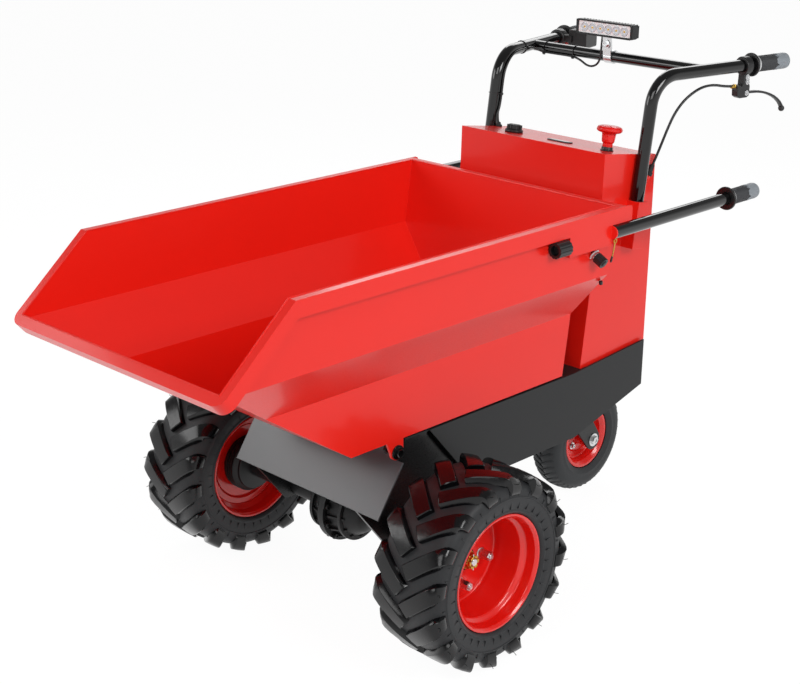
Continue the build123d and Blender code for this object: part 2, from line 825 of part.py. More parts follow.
ear_hole = pivot_pin_radius + pivot_clearance
with BuildPart() as hopper:
    add(hopper_shell.part)
    add(rim_hem.part)
    add(hem_tail.part)
    for side in (1, -1):
        with BuildSketch(Plane.YZ.offset(side * lug_plate_x)):
            with BuildLine():
                Polyline(
                    (pivot_y - ear_radius - 12.0, floor_z),
                    (pivot_y - ear_radius, pivot_z),
                    (pivot_y, pivot_z - ear_radius),
                    (pivot_y + ear_radius, pivot_z),
                    (pivot_y + ear_radius, floor_z),
                    close=True,
                )
            make_face()
            with Locations((pivot_y, pivot_z)):
                Circle(ear_radius)
            with Locations((pivot_y, pivot_z)):
                Circle(ear_hole, mode=Mode.SUBTRACT)
        extrude(amount=side * lug_plate)
finish(hopper, "hopper_shell")

# Tipping handles butt on the rear faces of the blocks.
with BuildPart() as tip_handle_left:
    with BuildSketch(Plane.XZ.offset(-tip_handle_front_y)):
        with Locations((tip_handle_x, tip_handle_z)):
            Circle(tube_radius)
            Circle(tube_radius - tube_wall, mode=Mode.SUBTRACT)
    extrude(amount=-(tip_handle_rear_y - tip_handle_front_y))
finish(tip_handle_left, "tip_handle_left")
mirrored(tip_handle_left, "tip_handle_right")


def make_grip(plane, length, name):
    """A closed rubber grip with a hand flange, whose plane's Z points at its free end."""
    inner = tube_radius + grip_fit
    outer = inner + grip_wall
    section = Plane(origin=plane.origin, x_dir=plane.x_dir, z_dir=-plane.y_dir)
    with BuildPart() as grip:
        with BuildSketch(section):
            with BuildLine():
                Polyline(
                    (inner, 0),
                    (grip_flange_radius, 0),
                    (grip_flange_radius, grip_flange_width),
                    (outer, grip_flange_width + 2.0),
                    (outer, length),
                    (outer - 3.0, length + grip_cap),
                    (0, length + grip_cap),
                    (0, length + 0.2),
                    (inner, length + 0.2),
                    close=True,
                )
            make_face()
        revolve(axis=Axis(plane.origin, plane.z_dir))
    finish(grip, name)
    return grip


grip_y = tip_handle_rear_y - tip_grip_length
grip_start = Plane(origin=(tip_handle_x, grip_y, tip_handle_z), x_dir=(1, 0, 0), z_dir=(0, 1, 0))
tip_grip_left = make_grip(grip_start, tip_grip_length, "tip_grip_left")
mirrored(tip_grip_left, "tip_grip_right")

# =======================================================================
# Cabinet
# =======================================================================
top_slope = (cabinet_front_top_z - cabinet_rear_top_z) / (cabinet_rear_y - cabinet_front_top_y)
cable_in = Vector(cabinet_half + 5.0, cabinet_rear_y - cable_in_forward, cabinet_rear_top_z - cable_in_drop)
cable_in_dir = Vector(6.0, 14.0, 30.0).normalized()
with BuildPart() as cabinet_shell:
    with BuildSketch(Plane.YZ):
        with BuildLine():
            Polyline(
                (cabinet_front_low_y, deck_z),
                (cabinet_break_y, cabinet_break_z),
                (cabinet_front_top_y, cabinet_front_top_z),
                (cabinet_rear_y, cabinet_rear_top_z),
                (cabinet_rear_y, deck_z),
                close=True,
            )
        make_face()
    extrude(amount=cabinet_half, both=True)
    bottom_face = cabinet_shell.faces().sort_by(Axis.Z)[0]
    offset(amount=-cabinet_sheet, openings=[bottom_face], kind=Kind.INTERSECTION)
    # opening for the rear door
    with BuildSketch(Plane.XZ.offset(-cabinet_rear_y)):
        with Locations((0, (deck_z + cabinet_rear_top_z) / 2)):
            Rectangle(2 * (cabinet_half - door_margin), cabinet_rear_top_z - deck_z - 2 * door_margin)
    extrude(amount=cabinet_sheet * 2, mode=Mode.SUBTRACT)
    # gland for the brake cable, on the left side
    with BuildSketch(Plane(origin=cable_in, z_dir=cable_in_dir)):
        Circle(gland_radius)
    extrude(amount=-14.0)
    # sleeves that hold the risers
    for side in (1, -1):
        low = riser_point(sleeve_low_z)
        sleeve_plane = Plane(origin=(side * riser_x, low.Y, low.Z), x_dir=(1, 0, 0), z_dir=riser_dir)
        sleeve_long = (sleeve_top_z - sleeve_low_z) / cos(lean)
        with BuildSketch(sleeve_plane):
            Rectangle(sleeve_size, sleeve_size)
        extrude(amount=sleeve_long)
        with BuildSketch(sleeve_plane.offset(sleeve_floor)):
            Circle(tube_radius + tube_fit)
        extrude(amount=sleeve_long, mode=Mode.SUBTRACT)
finish(cabinet_shell, "cabinet_shell")

with BuildPart() as cabinet_door:
    with BuildSketch(Plane.XZ.offset(-cabinet_rear_y)):
        with Locations((0, (deck_z + cabinet_rear_top_z) / 2)):
            Rectangle(2 * (cabinet_half - door_margin + 8.0), cabinet_rear_top_z - deck_z - 2 * door_margin + 16.0)
    extrude(amount=-door_sheet)
finish(cabinet_door, "cabinet_door")

# Controls on the sloping top of the cabinet.
top_angle = atan2(cabinet_front_top_z - cabinet_rear_top_z, cabinet_rear_y - cabinet_front_top_y)
control_z = cabinet_front_top_z - (control_y - cabinet_front_top_y) * top_slope


def top_plane(x):
    """Plane on the cabinet's top at the row of controls."""
    return Plane(origin=(x, control_y, control_z), x_dir=(1, 0, 0), z_dir=(0, sin(top_angle), cos(top_angle)))


# Emergency stop: a neck that widens into a collar and a mushroom head.
stop_profile = [
    (0, 0),
    (stop_neck_radius, 0),
    (stop_neck_radius, 18.0),
    (15.0, 19.0),
    (17.0, 40.0),
    (stop_head_radius - 1.0, 41.0),
    (stop_head_radius, 44.0),
    (stop_head_radius - 1.0, 50.0),
    (stop_head_radius - 6.0, 54.0),
    (0, 55.0),
]
stop_frame = top_plane(stop_knob_x)
with BuildPart() as stop_knob:
    with BuildSketch(Plane(origin=stop_frame.origin, x_dir=(1, 0, 0), z_dir=-stop_frame.y_dir)):
        with BuildLine():
            Polyline(*stop_profile, close=True)
        make_face()
    revolve(axis=Axis(stop_frame.origin, stop_frame.z_dir))
finish(stop_knob, "stop_knob")

with BuildPart() as key_cap:
    with BuildSketch(top_plane(key_cap_x)):
        Circle(21.0)
    extrude(amount=8.0)
    with BuildSketch(top_plane(key_cap_x).offset(8.0)):
        Circle(17.0)
    extrude(amount=10.0)
finish(key_cap, "key_cap")

with BuildPart() as gauge:
    with BuildSketch(top_plane(gauge_x)):
        SlotOverall(66.0, 24.0)
    extrude(amount=2.5)
finish(gauge, "gauge")

# =======================================================================
# Handlebar
# =======================================================================
riser_foot_z = sleeve_low_z + sleeve_floor * cos(lean) + 0.3
with BuildPart() as handlebar_frame:
    for bore in (0.0, tube_wall):
        for side in (1, -1):
            foot = riser_point(riser_foot_z)
            end = bar_point(bar_length)
            with BuildLine() as bar_path:
                FilletPolyline(
                    (side * foot.X, foot.Y, foot.Z),
                    (side * bar_corner.X, bar_corner.Y, bar_corner.Z),
                    (side * end.X, end.Y, end.Z),
                    radius=bend_radius,
                )
            with BuildSketch(Plane(origin=(side * foot.X, foot.Y, foot.Z), x_dir=(1, 0, 0), z_dir=riser_dir)):
                Circle(tube_radius - bore)
            sweep(path=bar_path.line, mode=Mode.SUBTRACT if bore else Mode.ADD)
        if not bore:
            cross = bar_point(crossbar_along) - Vector(0, 0, crossbar_drop)
            with BuildSketch(Plane(origin=(-cross.X, cross.Y, cross.Z), x_dir=(0, 1, 0), z_dir=(1, 0, 0))):
                Circle(crossbar_radius)
            extrude(amount=2 * cross.X)
finish(handlebar_frame, "handlebar_frame")

make_grip(bar_plane(bar_length - bar_grip_length), bar_grip_length, "bar_grip_left")
make_grip(bar_plane(bar_length - throttle_grip_length, -1), throttle_grip_length, "bar_grip_right")

# Brake perch with its lever under the left bar. Sketch Y points down at the ground here.
perch_frame = bar_plane(perch_along)
perch_drop = 70.0
lever_drop = 61.0
with BuildPart() as brake_perch:
    with BuildSketch(perch_frame):
        Circle(perch_radius)
        Circle(tube_radius + grip_fit, mode=Mode.SUBTRACT)
    extrude(amount=perch_width / 2, both=True)
    with BuildSketch(perch_frame) as perch_block:
        with Locations((0, (perch_drop + tube_radius + 4.0) / 2)):
            Rectangle(18.0, perch_drop - tube_radius - 4.0)
    extrude(amount=perch_width / 2)
    extrude(perch_block.sketch, amount=-perch_reach)
finish(brake_perch, "brake_perch")


def lever_point(along, drop):
    """Point below the left bar, in the upright plane that holds the bar."""
    point = bar_point(along)
    return Vector(point.X, point.Y, point.Z - drop)


lever_start = perch_along + perch_width / 2 + 1.2
lever_plane = Plane(
    origin=lever_point(lever_start, lever_drop),
    x_dir=(sin(splay), cos(splay), 0),
    z_dir=(cos(splay), -sin(splay), 0),
)
lever_outline = [
    (0.0, lever_thick / 2),
    (44.0, lever_thick / 2 - 2.0),
    (68.0, lever_thick / 2 - 7.0),
    (92.0, lever_thick / 2 - 17.0),
    (112.0, lever_thick / 2 - 32.0),
    (127.0, -48.0),
    (117.0, -51.0),
    (104.0, -lever_thick / 2 - 32.0),
    (87.0, -lever_thick / 2 - 18.0),
    (65.0, -lever_thick / 2 - 8.0),
    (43.0, -lever_thick / 2 - 3.0),
    (0.0, -lever_thick / 2),
]
with BuildPart() as brake_lever:
    with BuildSketch(lever_plane):
        with BuildLine():
            Polyline(*lever_outline, close=True)
        make_face()
    extrude(amount=lever_width / 2, both=True)
    with BuildSketch(lever_plane):
        with Locations((122.0, -51.0)):
            Circle(lever_radius + 2.0)
    extrude(amount=lever_radius + 2.0, both=True)
finish(brake_lever, "brake_lever")


def cord_line(points):
    """Straight runs joined by tangent arcs, each as large as its two runs allow."""
    points = [Vector(*point) for point in points]
    pieces = []
    radii = []
    start = points[0]
    for before, corner, after in zip(points, points[1:], points[2:]):
        into = (corner - before).normalized()
        away = (after - corner).normalized()
        half_turn = radians(into.get_angle(away)) / 2
        if half_turn < 0.001:
            continue
        reach = 0.45 * min((corner - before).length, (after - corner).length)
        radius = reach / tan(half_turn)
        inward = (away - into).normalized()
        arc_start = corner - into * reach
        arc_end = corner + away * reach
        arc_mid = corner + inward * (radius / cos(half_turn) - radius)
        pieces.append(Line(start, arc_start))
        pieces.append(ThreePointArc(arc_start, arc_mid, arc_end))
        radii.append(round(radius))
        start = arc_end
    pieces.append(Line(start, points[-1]))
    return pieces, radii


def cord(points, radius, name):
    """A held cable swept along its route."""
    pieces, radii = cord_line(points)
    wire = Wire(pieces)
    with BuildPart() as cable:
        with BuildSketch(Plane(origin=wire @ 0, z_dir=wire % 0)):
            Circle(radius)
        sweep(path=wire)
    finish(cable, name)
    print(name, "length", round(wire.length), "arc radii", radii)
    return cable


# Brake cable: out of the perch, over in one bow and down into the cabinet's side.
cable_out = lever_point(perch_along - perch_reach - 1.5, 44.0)
cable_route = [
    tuple(cable_out),
    (263.0, 650.0, 1012.0),
    (259.0, 612.0, 1020.0),
    (254.0, 578.0, 1020.0),
    (248.0, 548.0, 1010.0),
    (241.0, 521.0, 992.0),
    (234.0, 501.0, 966.0),
    (228.0, 488.0, 934.0),
    (221.0, 478.0, 899.0),
    tuple(cable_in + cable_in_dir * 26.0),
    tuple(cable_in + cable_in_dir * 0.3),
]
brake_cable = cord(cable_route, cable_radius, "brake_cable")

# Thumb throttle on the right bar, with the display box inboard of it. Sketch X points inboard.
throttle_frame = bar_plane(throttle_along, -1)
arm_in = tube_radius + grip_fit
with BuildPart() as throttle:
    with BuildSketch(throttle_frame):
        Circle(perch_radius)
        with Locations((display_in / 2, 0)):
            Rectangle(display_in, perch_radius)
        Circle(arm_in, mode=Mode.SUBTRACT)
    extrude(amount=throttle_width / 2, both=True)
    with BuildSketch(throttle_frame.offset(throttle_width / 2 - display_length / 3)):
        with Locations((display_in, 0)):
            RectangleRounded(display_width, display_height, 4.0)
    extrude(amount=display_length)
    with BuildSketch(throttle_frame.offset(throttle_width / 2)):
        with Locations((perch_radius, thumb_lever_length / 2 + 6.0)):
            Rectangle(thumb_lever_width, thumb_lever_length)
    extrude(amount=-8.0)
finish(throttle, "throttle")

# =======================================================================
# Lamp on the crossbar
# =======================================================================
lamp_plane = Plane(origin=(lamp_x, lamp_front_y, lamp_middle_z), x_dir=(1, 0, 0), z_dir=(0, -1, 0))
with BuildPart() as lamp_housing:
    with BuildSketch(lamp_plane):
        RectangleRounded(lamp_length, lamp_height, 5.0)
    extrude(amount=-lamp_bezel)
    with BuildSketch(lamp_plane):
        RectangleRounded(lamp_length - 2 * lamp_rim, lamp_height - 2 * lamp_rim, 2.5)
    extrude(amount=-lens_recess - lens_sheet, mode=Mode.SUBTRACT)
    with BuildSketch(lamp_plane.offset(-lamp_bezel)):
        Rectangle(lamp_length - 6.0, lamp_height - 12.0)
    extrude(amount=-(lamp_depth - lamp_bezel - 6.0))
    with BuildSketch(lamp_plane.offset(-lamp_bezel)):
        with GridLocations((lamp_length - 4.0 - lamp_fin) / (lamp_fin_count - 1), 0, lamp_fin_count, 1):
            Rectangle(lamp_fin, lamp_height - 3.0)
    extrude(amount=-(lamp_depth - lamp_bezel))
finish(lamp_housing, "lamp_housing")

with BuildPart() as lamp_lens:
    with BuildSketch(lamp_plane.offset(-lens_recess)):
        RectangleRounded(lamp_length - 2 * lamp_rim - 0.4, lamp_height - 2 * lamp_rim - 0.4, 2.3)
    extrude(amount=-lens_sheet)
finish(lamp_lens, "lamp_lens")

lamp_under_z = lamp_middle_z - (lamp_height - 3.0) / 2
lamp_back_y = lamp_front_y + lamp_depth
strap_y = lamp_front_y + lamp_bezel + clip_sheet
clip_in = crossbar_radius + 0.15
clip_out = clip_in + clip_sheet
with BuildPart() as lamp_bracket:
    with BuildSketch(Plane.YZ.offset(lamp_x - clip_width / 2)):
        with Locations((cross.Y, cross.Z)):
            Circle(clip_out)
        with BuildLine():
            Polyline(
                (cross.Y, cross.Z + clip_out),
                (cross.Y - clip_out, cross.Z + clip_sheet),
                (strap_y, lamp_under_z - clip_sheet),
                (strap_y, lamp_under_z),
                (lamp_back_y - 2.0, lamp_under_z),
                (lamp_back_y - 2.0, lamp_under_z - clip_sheet),
                (strap_y + 2 * clip_sheet, lamp_under_z - clip_sheet),
                (cross.Y - clip_out + 2 * clip_sheet, cross.Z + clip_out - clip_sheet),
                close=True,
            )
        make_face()
        with Locations((cross.Y, cross.Z)):
            Circle(clip_in, mode=Mode.SUBTRACT)
    extrude(amount=clip_width)
finish(lamp_bracket, "lamp_bracket")

# Lamp wire: down in front of the crossbar, one slack bow below it, then along its lower
# front to the right bar, round the bend on the inboard side and down to the cabinet's top.
wire_lay = crossbar_radius + wire_radius + held_gap
wire_lay_y = cross.Y - wire_lay * cos(radians(45))
wire_lay_z = cross.Z - wire_lay * sin(radians(45))
bar_lay = tube_radius + wire_radius + held_gap
inboard = riser_dir.cross(bar_dir).normalized()
bend_turn = radians(riser_dir.get_angle(bar_dir))
bend_middle = (bar_dir - riser_dir).normalized()
bend_centre = bar_corner + bend_middle * (bend_radius / cos(bend_turn / 2))
to_bar = (bar_corner + bar_dir * bend_radius * tan(bend_turn / 2) - bend_centre).normalized()
to_riser = (bar_corner - riser_dir * bend_radius * tan(bend_turn / 2) - bend_centre).normalized()
bend_steps = 4


def beside_bar(point):
    """The place of the wire inboard of a point on the left tube, moved to the right tube."""
    inner = point + inboard * (bar_lay if inboard.X < 0 else -bar_lay)
    return (-inner.X, inner.Y, inner.Z)


bend_points = []
for step in range(bend_steps):
    part_way = (step + 0.5) / bend_steps
    reach = bend_radius / cos(bend_turn / 2 / bend_steps)
    spoke = to_bar * sin((1 - part_way) * bend_turn) + to_riser * sin(part_way * bend_turn)
    bend_points.append(beside_bar(bend_centre + spoke * (reach / sin(bend_turn))))

wire_top_z = cabinet_front_top_z - (wire_in_y - cabinet_front_top_y) * top_slope
wire_out_x = lamp_x - clip_width / 2 - 4.0
wire_drop_y = cross.Y - wire_lay - 2.0
wire_route = [
    (wire_out_x, wire_drop_y + 2.0, lamp_under_z - held_gap),
    (wire_out_x, wire_drop_y, cross.Z + 24.0),
    (wire_out_x - 1.0, wire_drop_y, cross.Z),
    (wire_out_x - 7.0, wire_drop_y, cross.Z - 17.0),
    (wire_out_x - 22.0, wire_drop_y, cross.Z - 26.0),
    (wire_out_x - 42.0, wire_lay_y - 4.0, cross.Z - 26.0),
    (wire_out_x - 62.0, wire_lay_y - 1.0, wire_lay_z - 6.0),
    (wire_out_x - 84.0, wire_lay_y, wire_lay_z),
    (wire_out_x - 130.0, wire_lay_y, wire_lay_z),
    (wire_out_x - 168.0, wire_lay_y, wire_lay_z),
    (-cross.X + 40.0, wire_lay_y - 3.0, wire_lay_z + 1.0),
    beside_bar(bar_point(crossbar_along - 36.0)),
    beside_bar(bar_point(crossbar_along - 60.0)),
    *bend_points,
    beside_bar(riser_point(riser_top_z - 82.0)),
    beside_bar(riser_point(riser_top_z - 118.0)),
    (-cabinet_half + 4.0, wire_in_y - 1.0, wire_top_z + 26.0),
    (-cabinet_half + 10.0, wire_in_y, wire_top_z + 1.5),
]
lamp_wire = cord(wire_route, wire_radius, "lamp_wire")

# =======================================================================
# Hopper latch fittings on the left side wall
# =======================================================================
knob_x = hopper_half + latch_knob_radius + 0.3
latch_knob_z = hem_low_z - latch_knob_radius - 0.5
knob_frame = Plane(origin=(knob_x, latch_knob_y, latch_knob_z), x_dir=(1, 0, 0), z_dir=(0, 1, 0))
with BuildPart() as latch_knob:
    with BuildSketch(knob_frame):
        Circle(latch_knob_radius)
        with PolarLocations(latch_knob_radius + 1.0, 12):
            Circle(2.2, mode=Mode.SUBTRACT)
    extrude(amount=latch_knob_length)
    with BuildSketch(knob_frame):
        Circle(latch_knob_radius - 6.0)
    extrude(amount=latch_knob_length / 3, mode=Mode.SUBTRACT)
finish(latch_knob, "latch_knob")

# The plunger leans outward and down from the wall: a nut, then a fluted grip.
tilt = radians(latch_pin_tilt)
plunger_frame = Plane(
    origin=(hopper_half, latch_pin_y, latch_pin_z),
    x_dir=(0, 1, 0),
    z_dir=(cos(tilt), 0, -sin(tilt)),
)
with BuildPart() as latch_plunger:
    with BuildSketch(plunger_frame.offset(-8.0)):
        Circle(6.5)
    extrude(amount=16.0)
    with BuildSketch(plunger_frame.offset(5.5)):
        RegularPolygon(9.5, 6)
    extrude(amount=6.0)
    with BuildSketch(plunger_frame.offset(11.5)):
        Circle(latch_pin_radius)
        with PolarLocations(latch_pin_radius + 0.8, 10):
            Circle(2.0, mode=Mode.SUBTRACT)
    extrude(amount=22.0)
    split(bisect_by=Plane.YZ.offset(hopper_half), keep=Keep.TOP)
finish(latch_plunger, "latch_plunger")

# =======================================================================
# Caster
# =======================================================================
swivel_y = caster_y - caster_trail
plate_top = caster_crown_z + swivel_height + caster_plate_sheet
with BuildPart() as caster_plate:
    with BuildSketch(Plane.XY.offset(plate_top)):
        with Locations((0, swivel_y)):
            Rectangle(100.0, 96.0)
    extrude(amount=-caster_plate_sheet)
    with BuildSketch(Plane.XY.offset(plate_top - caster_plate_sheet)):
        with Locations((0, swivel_y)):
            Circle(swivel_radius)
    extrude(amount=-(swivel_height - 0.3))
finish(caster_plate, "caster_plate")

leg_in = caster_width / 2 + caster_side_gap
leg_out = leg_in + caster_fork_sheet
leg_end = 25.0
with BuildPart() as caster_fork:
    with BuildSketch(Plane.XY.offset(caster_crown_z)):
        with Locations((0, swivel_y)):
            Rectangle(2 * leg_out, 72.0)
    extrude(amount=-caster_crown_sheet)
    for side in (1, -1):
        with BuildSketch(Plane.YZ.offset(side * leg_in)):
            with BuildLine():
                CenterArc((caster_y, caster_radius), leg_end, 0, 360)
                Line((swivel_y - 34.0, caster_crown_z), (swivel_y + 34.0, caster_crown_z))
                Line((swivel_y - 34.0, caster_crown_z - 16.0), (swivel_y + 34.0, caster_crown_z - 16.0))
            make_hull()
            with Locations((caster_y, caster_radius)):
                Circle(caster_axle_radius + 0.15, mode=Mode.SUBTRACT)
        extrude(amount=side * caster_fork_sheet)
finish(caster_fork, "caster_fork")

caster_axle_plane = Plane(origin=(0, caster_y, caster_radius), x_dir=(0, 1, 0), z_dir=(1, 0, 0))
with BuildPart() as caster_axle:
    with BuildSketch(caster_axle_plane.offset(-leg_out)):
        Circle(caster_axle_radius)
    extrude(amount=2 * leg_out)
    for side in (1, -1):
        with BuildSketch(caster_axle_plane.offset(side * leg_out)):
            RegularPolygon(caster_head_radius, 6)
        extrude(amount=side * caster_head)
finish(caster_axle, "caster_axle")

caster_half = caster_width / 2
caster_bead = caster_rim_radius - 5.0
caster_flange_x = caster_half - 8.0
with BuildPart() as caster_rim:
    with BuildSketch(Plane(origin=(0, caster_y, caster_radius), x_dir=(1, 0, 0), z_dir=(0, -1, 0))):
        with BuildLine():
            Polyline(
                (-caster_flange_x, caster_rim_radius),
                (-caster_flange_x + 3.0, caster_rim_radius),
                (-caster_flange_x + 3.0, caster_bead),
                (-caster_flange_x + 9.0, caster_well_radius),
                (caster_flange_x - 9.0, caster_well_radius),
                (caster_flange_x - 3.0, caster_bead),
                (caster_flange_x - 3.0, caster_rim_radius),
                (caster_flange_x, caster_rim_radius),
                (caster_flange_x, caster_bead - 2.0),
                (caster_flange_x - 8.0, caster_well_radius - caster_rim_wall),
                (3.0, caster_well_radius - caster_rim_wall),
                (3.0, 24.0),
                (leg_in - 1.0, 20.0),
                (leg_in - 1.0, caster_axle_radius + 0.1),
                (-leg_in + 1.0, caster_axle_radius + 0.1),
                (-leg_in + 1.0, 20.0),
                (-3.0, 24.0),
                (-3.0, caster_well_radius - caster_rim_wall),
                (-caster_flange_x + 8.0, caster_well_radius - caster_rim_wall),
                (-caster_flange_x, caster_bead - 2.0),
                close=True,
            )
        make_face()
    revolve(axis=Axis((0, caster_y, caster_radius), (1, 0, 0)))
finish(caster_rim, "caster_rim")

caster_outside = [
    (caster_radius - 32.0, caster_half),
    (caster_radius - 14.0, caster_half - 4.0),
    (caster_radius - 3.0, caster_half - 16.0),
    (caster_radius, caster_half - 30.0),
]
caster_bore = [
    (caster_radius - 48.0, caster_half),
    (caster_rim_radius + 1.5, caster_half - 7.0),
    (caster_rim_radius + 1.5, caster_flange_x - 3.3),
    (caster_bead + fit, caster_flange_x - 3.3),
    (caster_well_radius + fit, caster_flange_x - 9.0),
]
with BuildPart(caster_axle_plane) as caster_tyre:
    with Locations((0, 0, 0)):
        add(faceted(caster_outside, caster_facets, False))
        add(faceted(caster_bore, caster_facets, True), mode=Mode.SUBTRACT)
finish(caster_tyre, "caster_tyre")
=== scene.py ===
# %% [markdown]
# # A red electric walk-behind dumper
#
# A small pedestrian machine: an open scoop hopper on two lugged drive wheels,
# a cabinet with the batteries behind it, a swivel caster under the cabinet and
# two long bars for the operator. The construction comes in as a fixed frame.
# This file gives every piece its edges, its small hardware and its finish.

# %% Load the frame
import json
import math

import bmesh
import bpy
from mathutils import Matrix, Vector

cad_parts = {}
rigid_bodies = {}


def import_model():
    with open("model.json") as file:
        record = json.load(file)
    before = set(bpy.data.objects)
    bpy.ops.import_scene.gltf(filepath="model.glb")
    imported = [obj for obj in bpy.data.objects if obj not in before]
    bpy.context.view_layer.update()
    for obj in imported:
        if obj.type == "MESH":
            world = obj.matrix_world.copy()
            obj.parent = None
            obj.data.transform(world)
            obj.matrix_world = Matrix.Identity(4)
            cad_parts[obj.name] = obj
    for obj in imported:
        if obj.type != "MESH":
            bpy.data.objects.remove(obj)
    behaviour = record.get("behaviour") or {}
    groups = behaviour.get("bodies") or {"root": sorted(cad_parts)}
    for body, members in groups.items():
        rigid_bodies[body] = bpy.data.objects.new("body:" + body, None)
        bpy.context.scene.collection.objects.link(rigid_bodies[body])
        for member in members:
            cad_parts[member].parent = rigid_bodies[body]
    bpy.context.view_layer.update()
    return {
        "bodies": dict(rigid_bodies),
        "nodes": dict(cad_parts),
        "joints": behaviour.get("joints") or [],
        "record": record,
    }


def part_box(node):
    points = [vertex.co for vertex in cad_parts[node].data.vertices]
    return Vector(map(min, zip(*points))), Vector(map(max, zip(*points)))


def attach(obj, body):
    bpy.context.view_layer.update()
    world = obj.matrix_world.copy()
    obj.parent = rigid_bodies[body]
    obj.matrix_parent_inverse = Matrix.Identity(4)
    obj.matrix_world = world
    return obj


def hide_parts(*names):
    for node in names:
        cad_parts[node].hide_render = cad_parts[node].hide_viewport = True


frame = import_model()
nodes = frame["nodes"]
MM = 0.001

# %% [markdown]
# ## Camera
#
# The machine is seen from ahead and to its left, from a little above the
# handlebar. A long lens from three and a half metres keeps the hopper's edges
# nearly parallel. The view is built from its three turns, so that each of them can
# be changed by itself.

# %% Camera
CAMERA_PLACE = Vector((2.16995, -2.33411, 1.62806))
CAMERA_YAW, CAMERA_PITCH, CAMERA_ROLL = (math.radians(a) for a in (44.25, 19.47, 0.64))
CAMERA_LENS = 70.43

sight = Vector((
    -math.sin(CAMERA_YAW) * math.cos(CAMERA_PITCH),
    math.cos(CAMERA_YAW) * math.cos(CAMERA_PITCH),
    -math.sin(CAMERA_PITCH),
))
level_right = Vector((math.cos(CAMERA_YAW), math.sin(CAMERA_YAW), 0))
level_up = level_right.cross(sight)
tilted_right = level_right * math.cos(CAMERA_ROLL) + level_up * math.sin(CAMERA_ROLL)
tilted_up = level_up * math.cos(CAMERA_ROLL) - level_right * math.sin(CAMERA_ROLL)

camera = bpy.data.objects.new("camera", bpy.data.cameras.new("camera"))
camera.data.sensor_width = 36.0
camera.data.lens = CAMERA_LENS
camera.data.clip_end = 200.0
turn = Matrix((tilted_right, tilted_up, -sight)).transposed().to_4x4()
camera.matrix_world = Matrix.Translation(CAMERA_PLACE) @ turn
bpy.context.scene.collection.objects.link(camera)
bpy.context.scene.camera = camera
bpy.context.scene.view_settings.view_transform = "Standard"
print("camera is", round(CAMERA_PLACE.length, 2), "m from the origin")

# %% [markdown]
# ## Small helpers
#
# Shaders and Geometry Nodes are both node trees. One small function adds a
# node, sets it and links its inputs, another turns sRGB hex colours into the
# linear values that Blender works with, and a third puts a new object into
# the scene.


# %% Helpers
def add(tree, kind, inputs=None, **settings):
    """Add a node. A socket given as an input is linked, anything else is set."""
    made = tree.nodes.new(kind)
    for name, value in settings.items():
        setattr(made, name, value)
    for key, value in (inputs or {}).items():
        if isinstance(value, bpy.types.NodeSocket):
            tree.links.new(value, made.inputs[key])
        else:
            made.inputs[key].default_value = value
    return made


def calc(tree, operation, *values):
    """The result of a math node."""
    return add(tree, "ShaderNodeMath", dict(enumerate(values)), operation=operation).outputs[0]


def linear(hex_colour):
    """An sRGB hex colour as linear red, green, blue and 1."""
    parts = [int(hex_colour[i:i + 2], 16) / 255 for i in (0, 2, 4)]
    return tuple(c / 12.92 if c <= 0.04045 else ((c + 0.055) / 1.055) ** 2.4 for c in parts) + (1.0,)


def placed(name, data):
    """A new object in the scene."""
    thing = bpy.data.objects.new(name, data)
    bpy.context.scene.collection.objects.link(thing)
    return thing


# %% [markdown]
# ## Floor and light
#
# A product shot stands on a seamless white floor under large soft lamps. The
# floor is a plain disc. Part of its white is its own glow, seen only by the
# camera and by reflections, so that it stays pale without flooding the machine
# with light. The rest is lit, so that it still takes a soft shadow. The sweep
# behind the stage is bright low down and dim overhead, which draws long lines
# in gloss.

# %% Floor
FLOOR_RADIUS = 60.0
FLOOR_SHARE_LIT = 0.09
FLOOR_GLOW = 1.05


def pale_floor_material():
    material = bpy.data.materials.new("pale_floor")
    material.use_nodes = True
    tree = material.node_tree
    tree.nodes.clear()
    ray = add(tree, "ShaderNodeLightPath").outputs
    lit = add(tree, "ShaderNodeBsdfDiffuse", {"Color": linear("F4F4F4")})
    glow = add(tree, "ShaderNodeEmission", {"Color": (1, 1, 1, 1), "Strength": FLOOR_GLOW})
    seen = calc(tree, "MAXIMUM", ray["Is Camera Ray"], ray["Is Glossy Ray"])
    share = calc(tree, "MULTIPLY", seen, 1.0 - FLOOR_SHARE_LIT)
    mix = add(tree, "ShaderNodeMixShader", {0: share, 1: lit.outputs[0], 2: glow.outputs[0]})
    add(tree, "ShaderNodeOutputMaterial", {"Surface": mix.outputs[0]})
    return material


floor_mesh = bpy.data.meshes.new("floor")
floor_bm = bmesh.new()
bmesh.ops.create_circle(floor_bm, cap_ends=True, radius=FLOOR_RADIUS, segments=96)
floor_bm.to_mesh(floor_mesh)
floor_bm.free()
floor = placed("floor", floor_mesh)
floor.data.materials.append(pale_floor_material())

# %% World and lamps
SKY_SEEN, GLOSS_HIGH, FILL_LOW, FILL_HIGH = 1.0, 0.25, 0.85, 0.2
SKY_LOW, SKY_HIGH = 0.1, 0.5
world = bpy.data.worlds.new("studio")
bpy.context.scene.world = world
world.use_nodes = True
sky_tree = world.node_tree
sky_tree.nodes.clear()


def ramp(value, low, high, start=0.0, end=1.0):
    """From low to high while the value goes from start to end."""
    return add(sky_tree, "ShaderNodeMapRange", {
        "Value": value, "From Min": start, "From Max": end, "To Min": low, "To Max": high}).outputs[0]


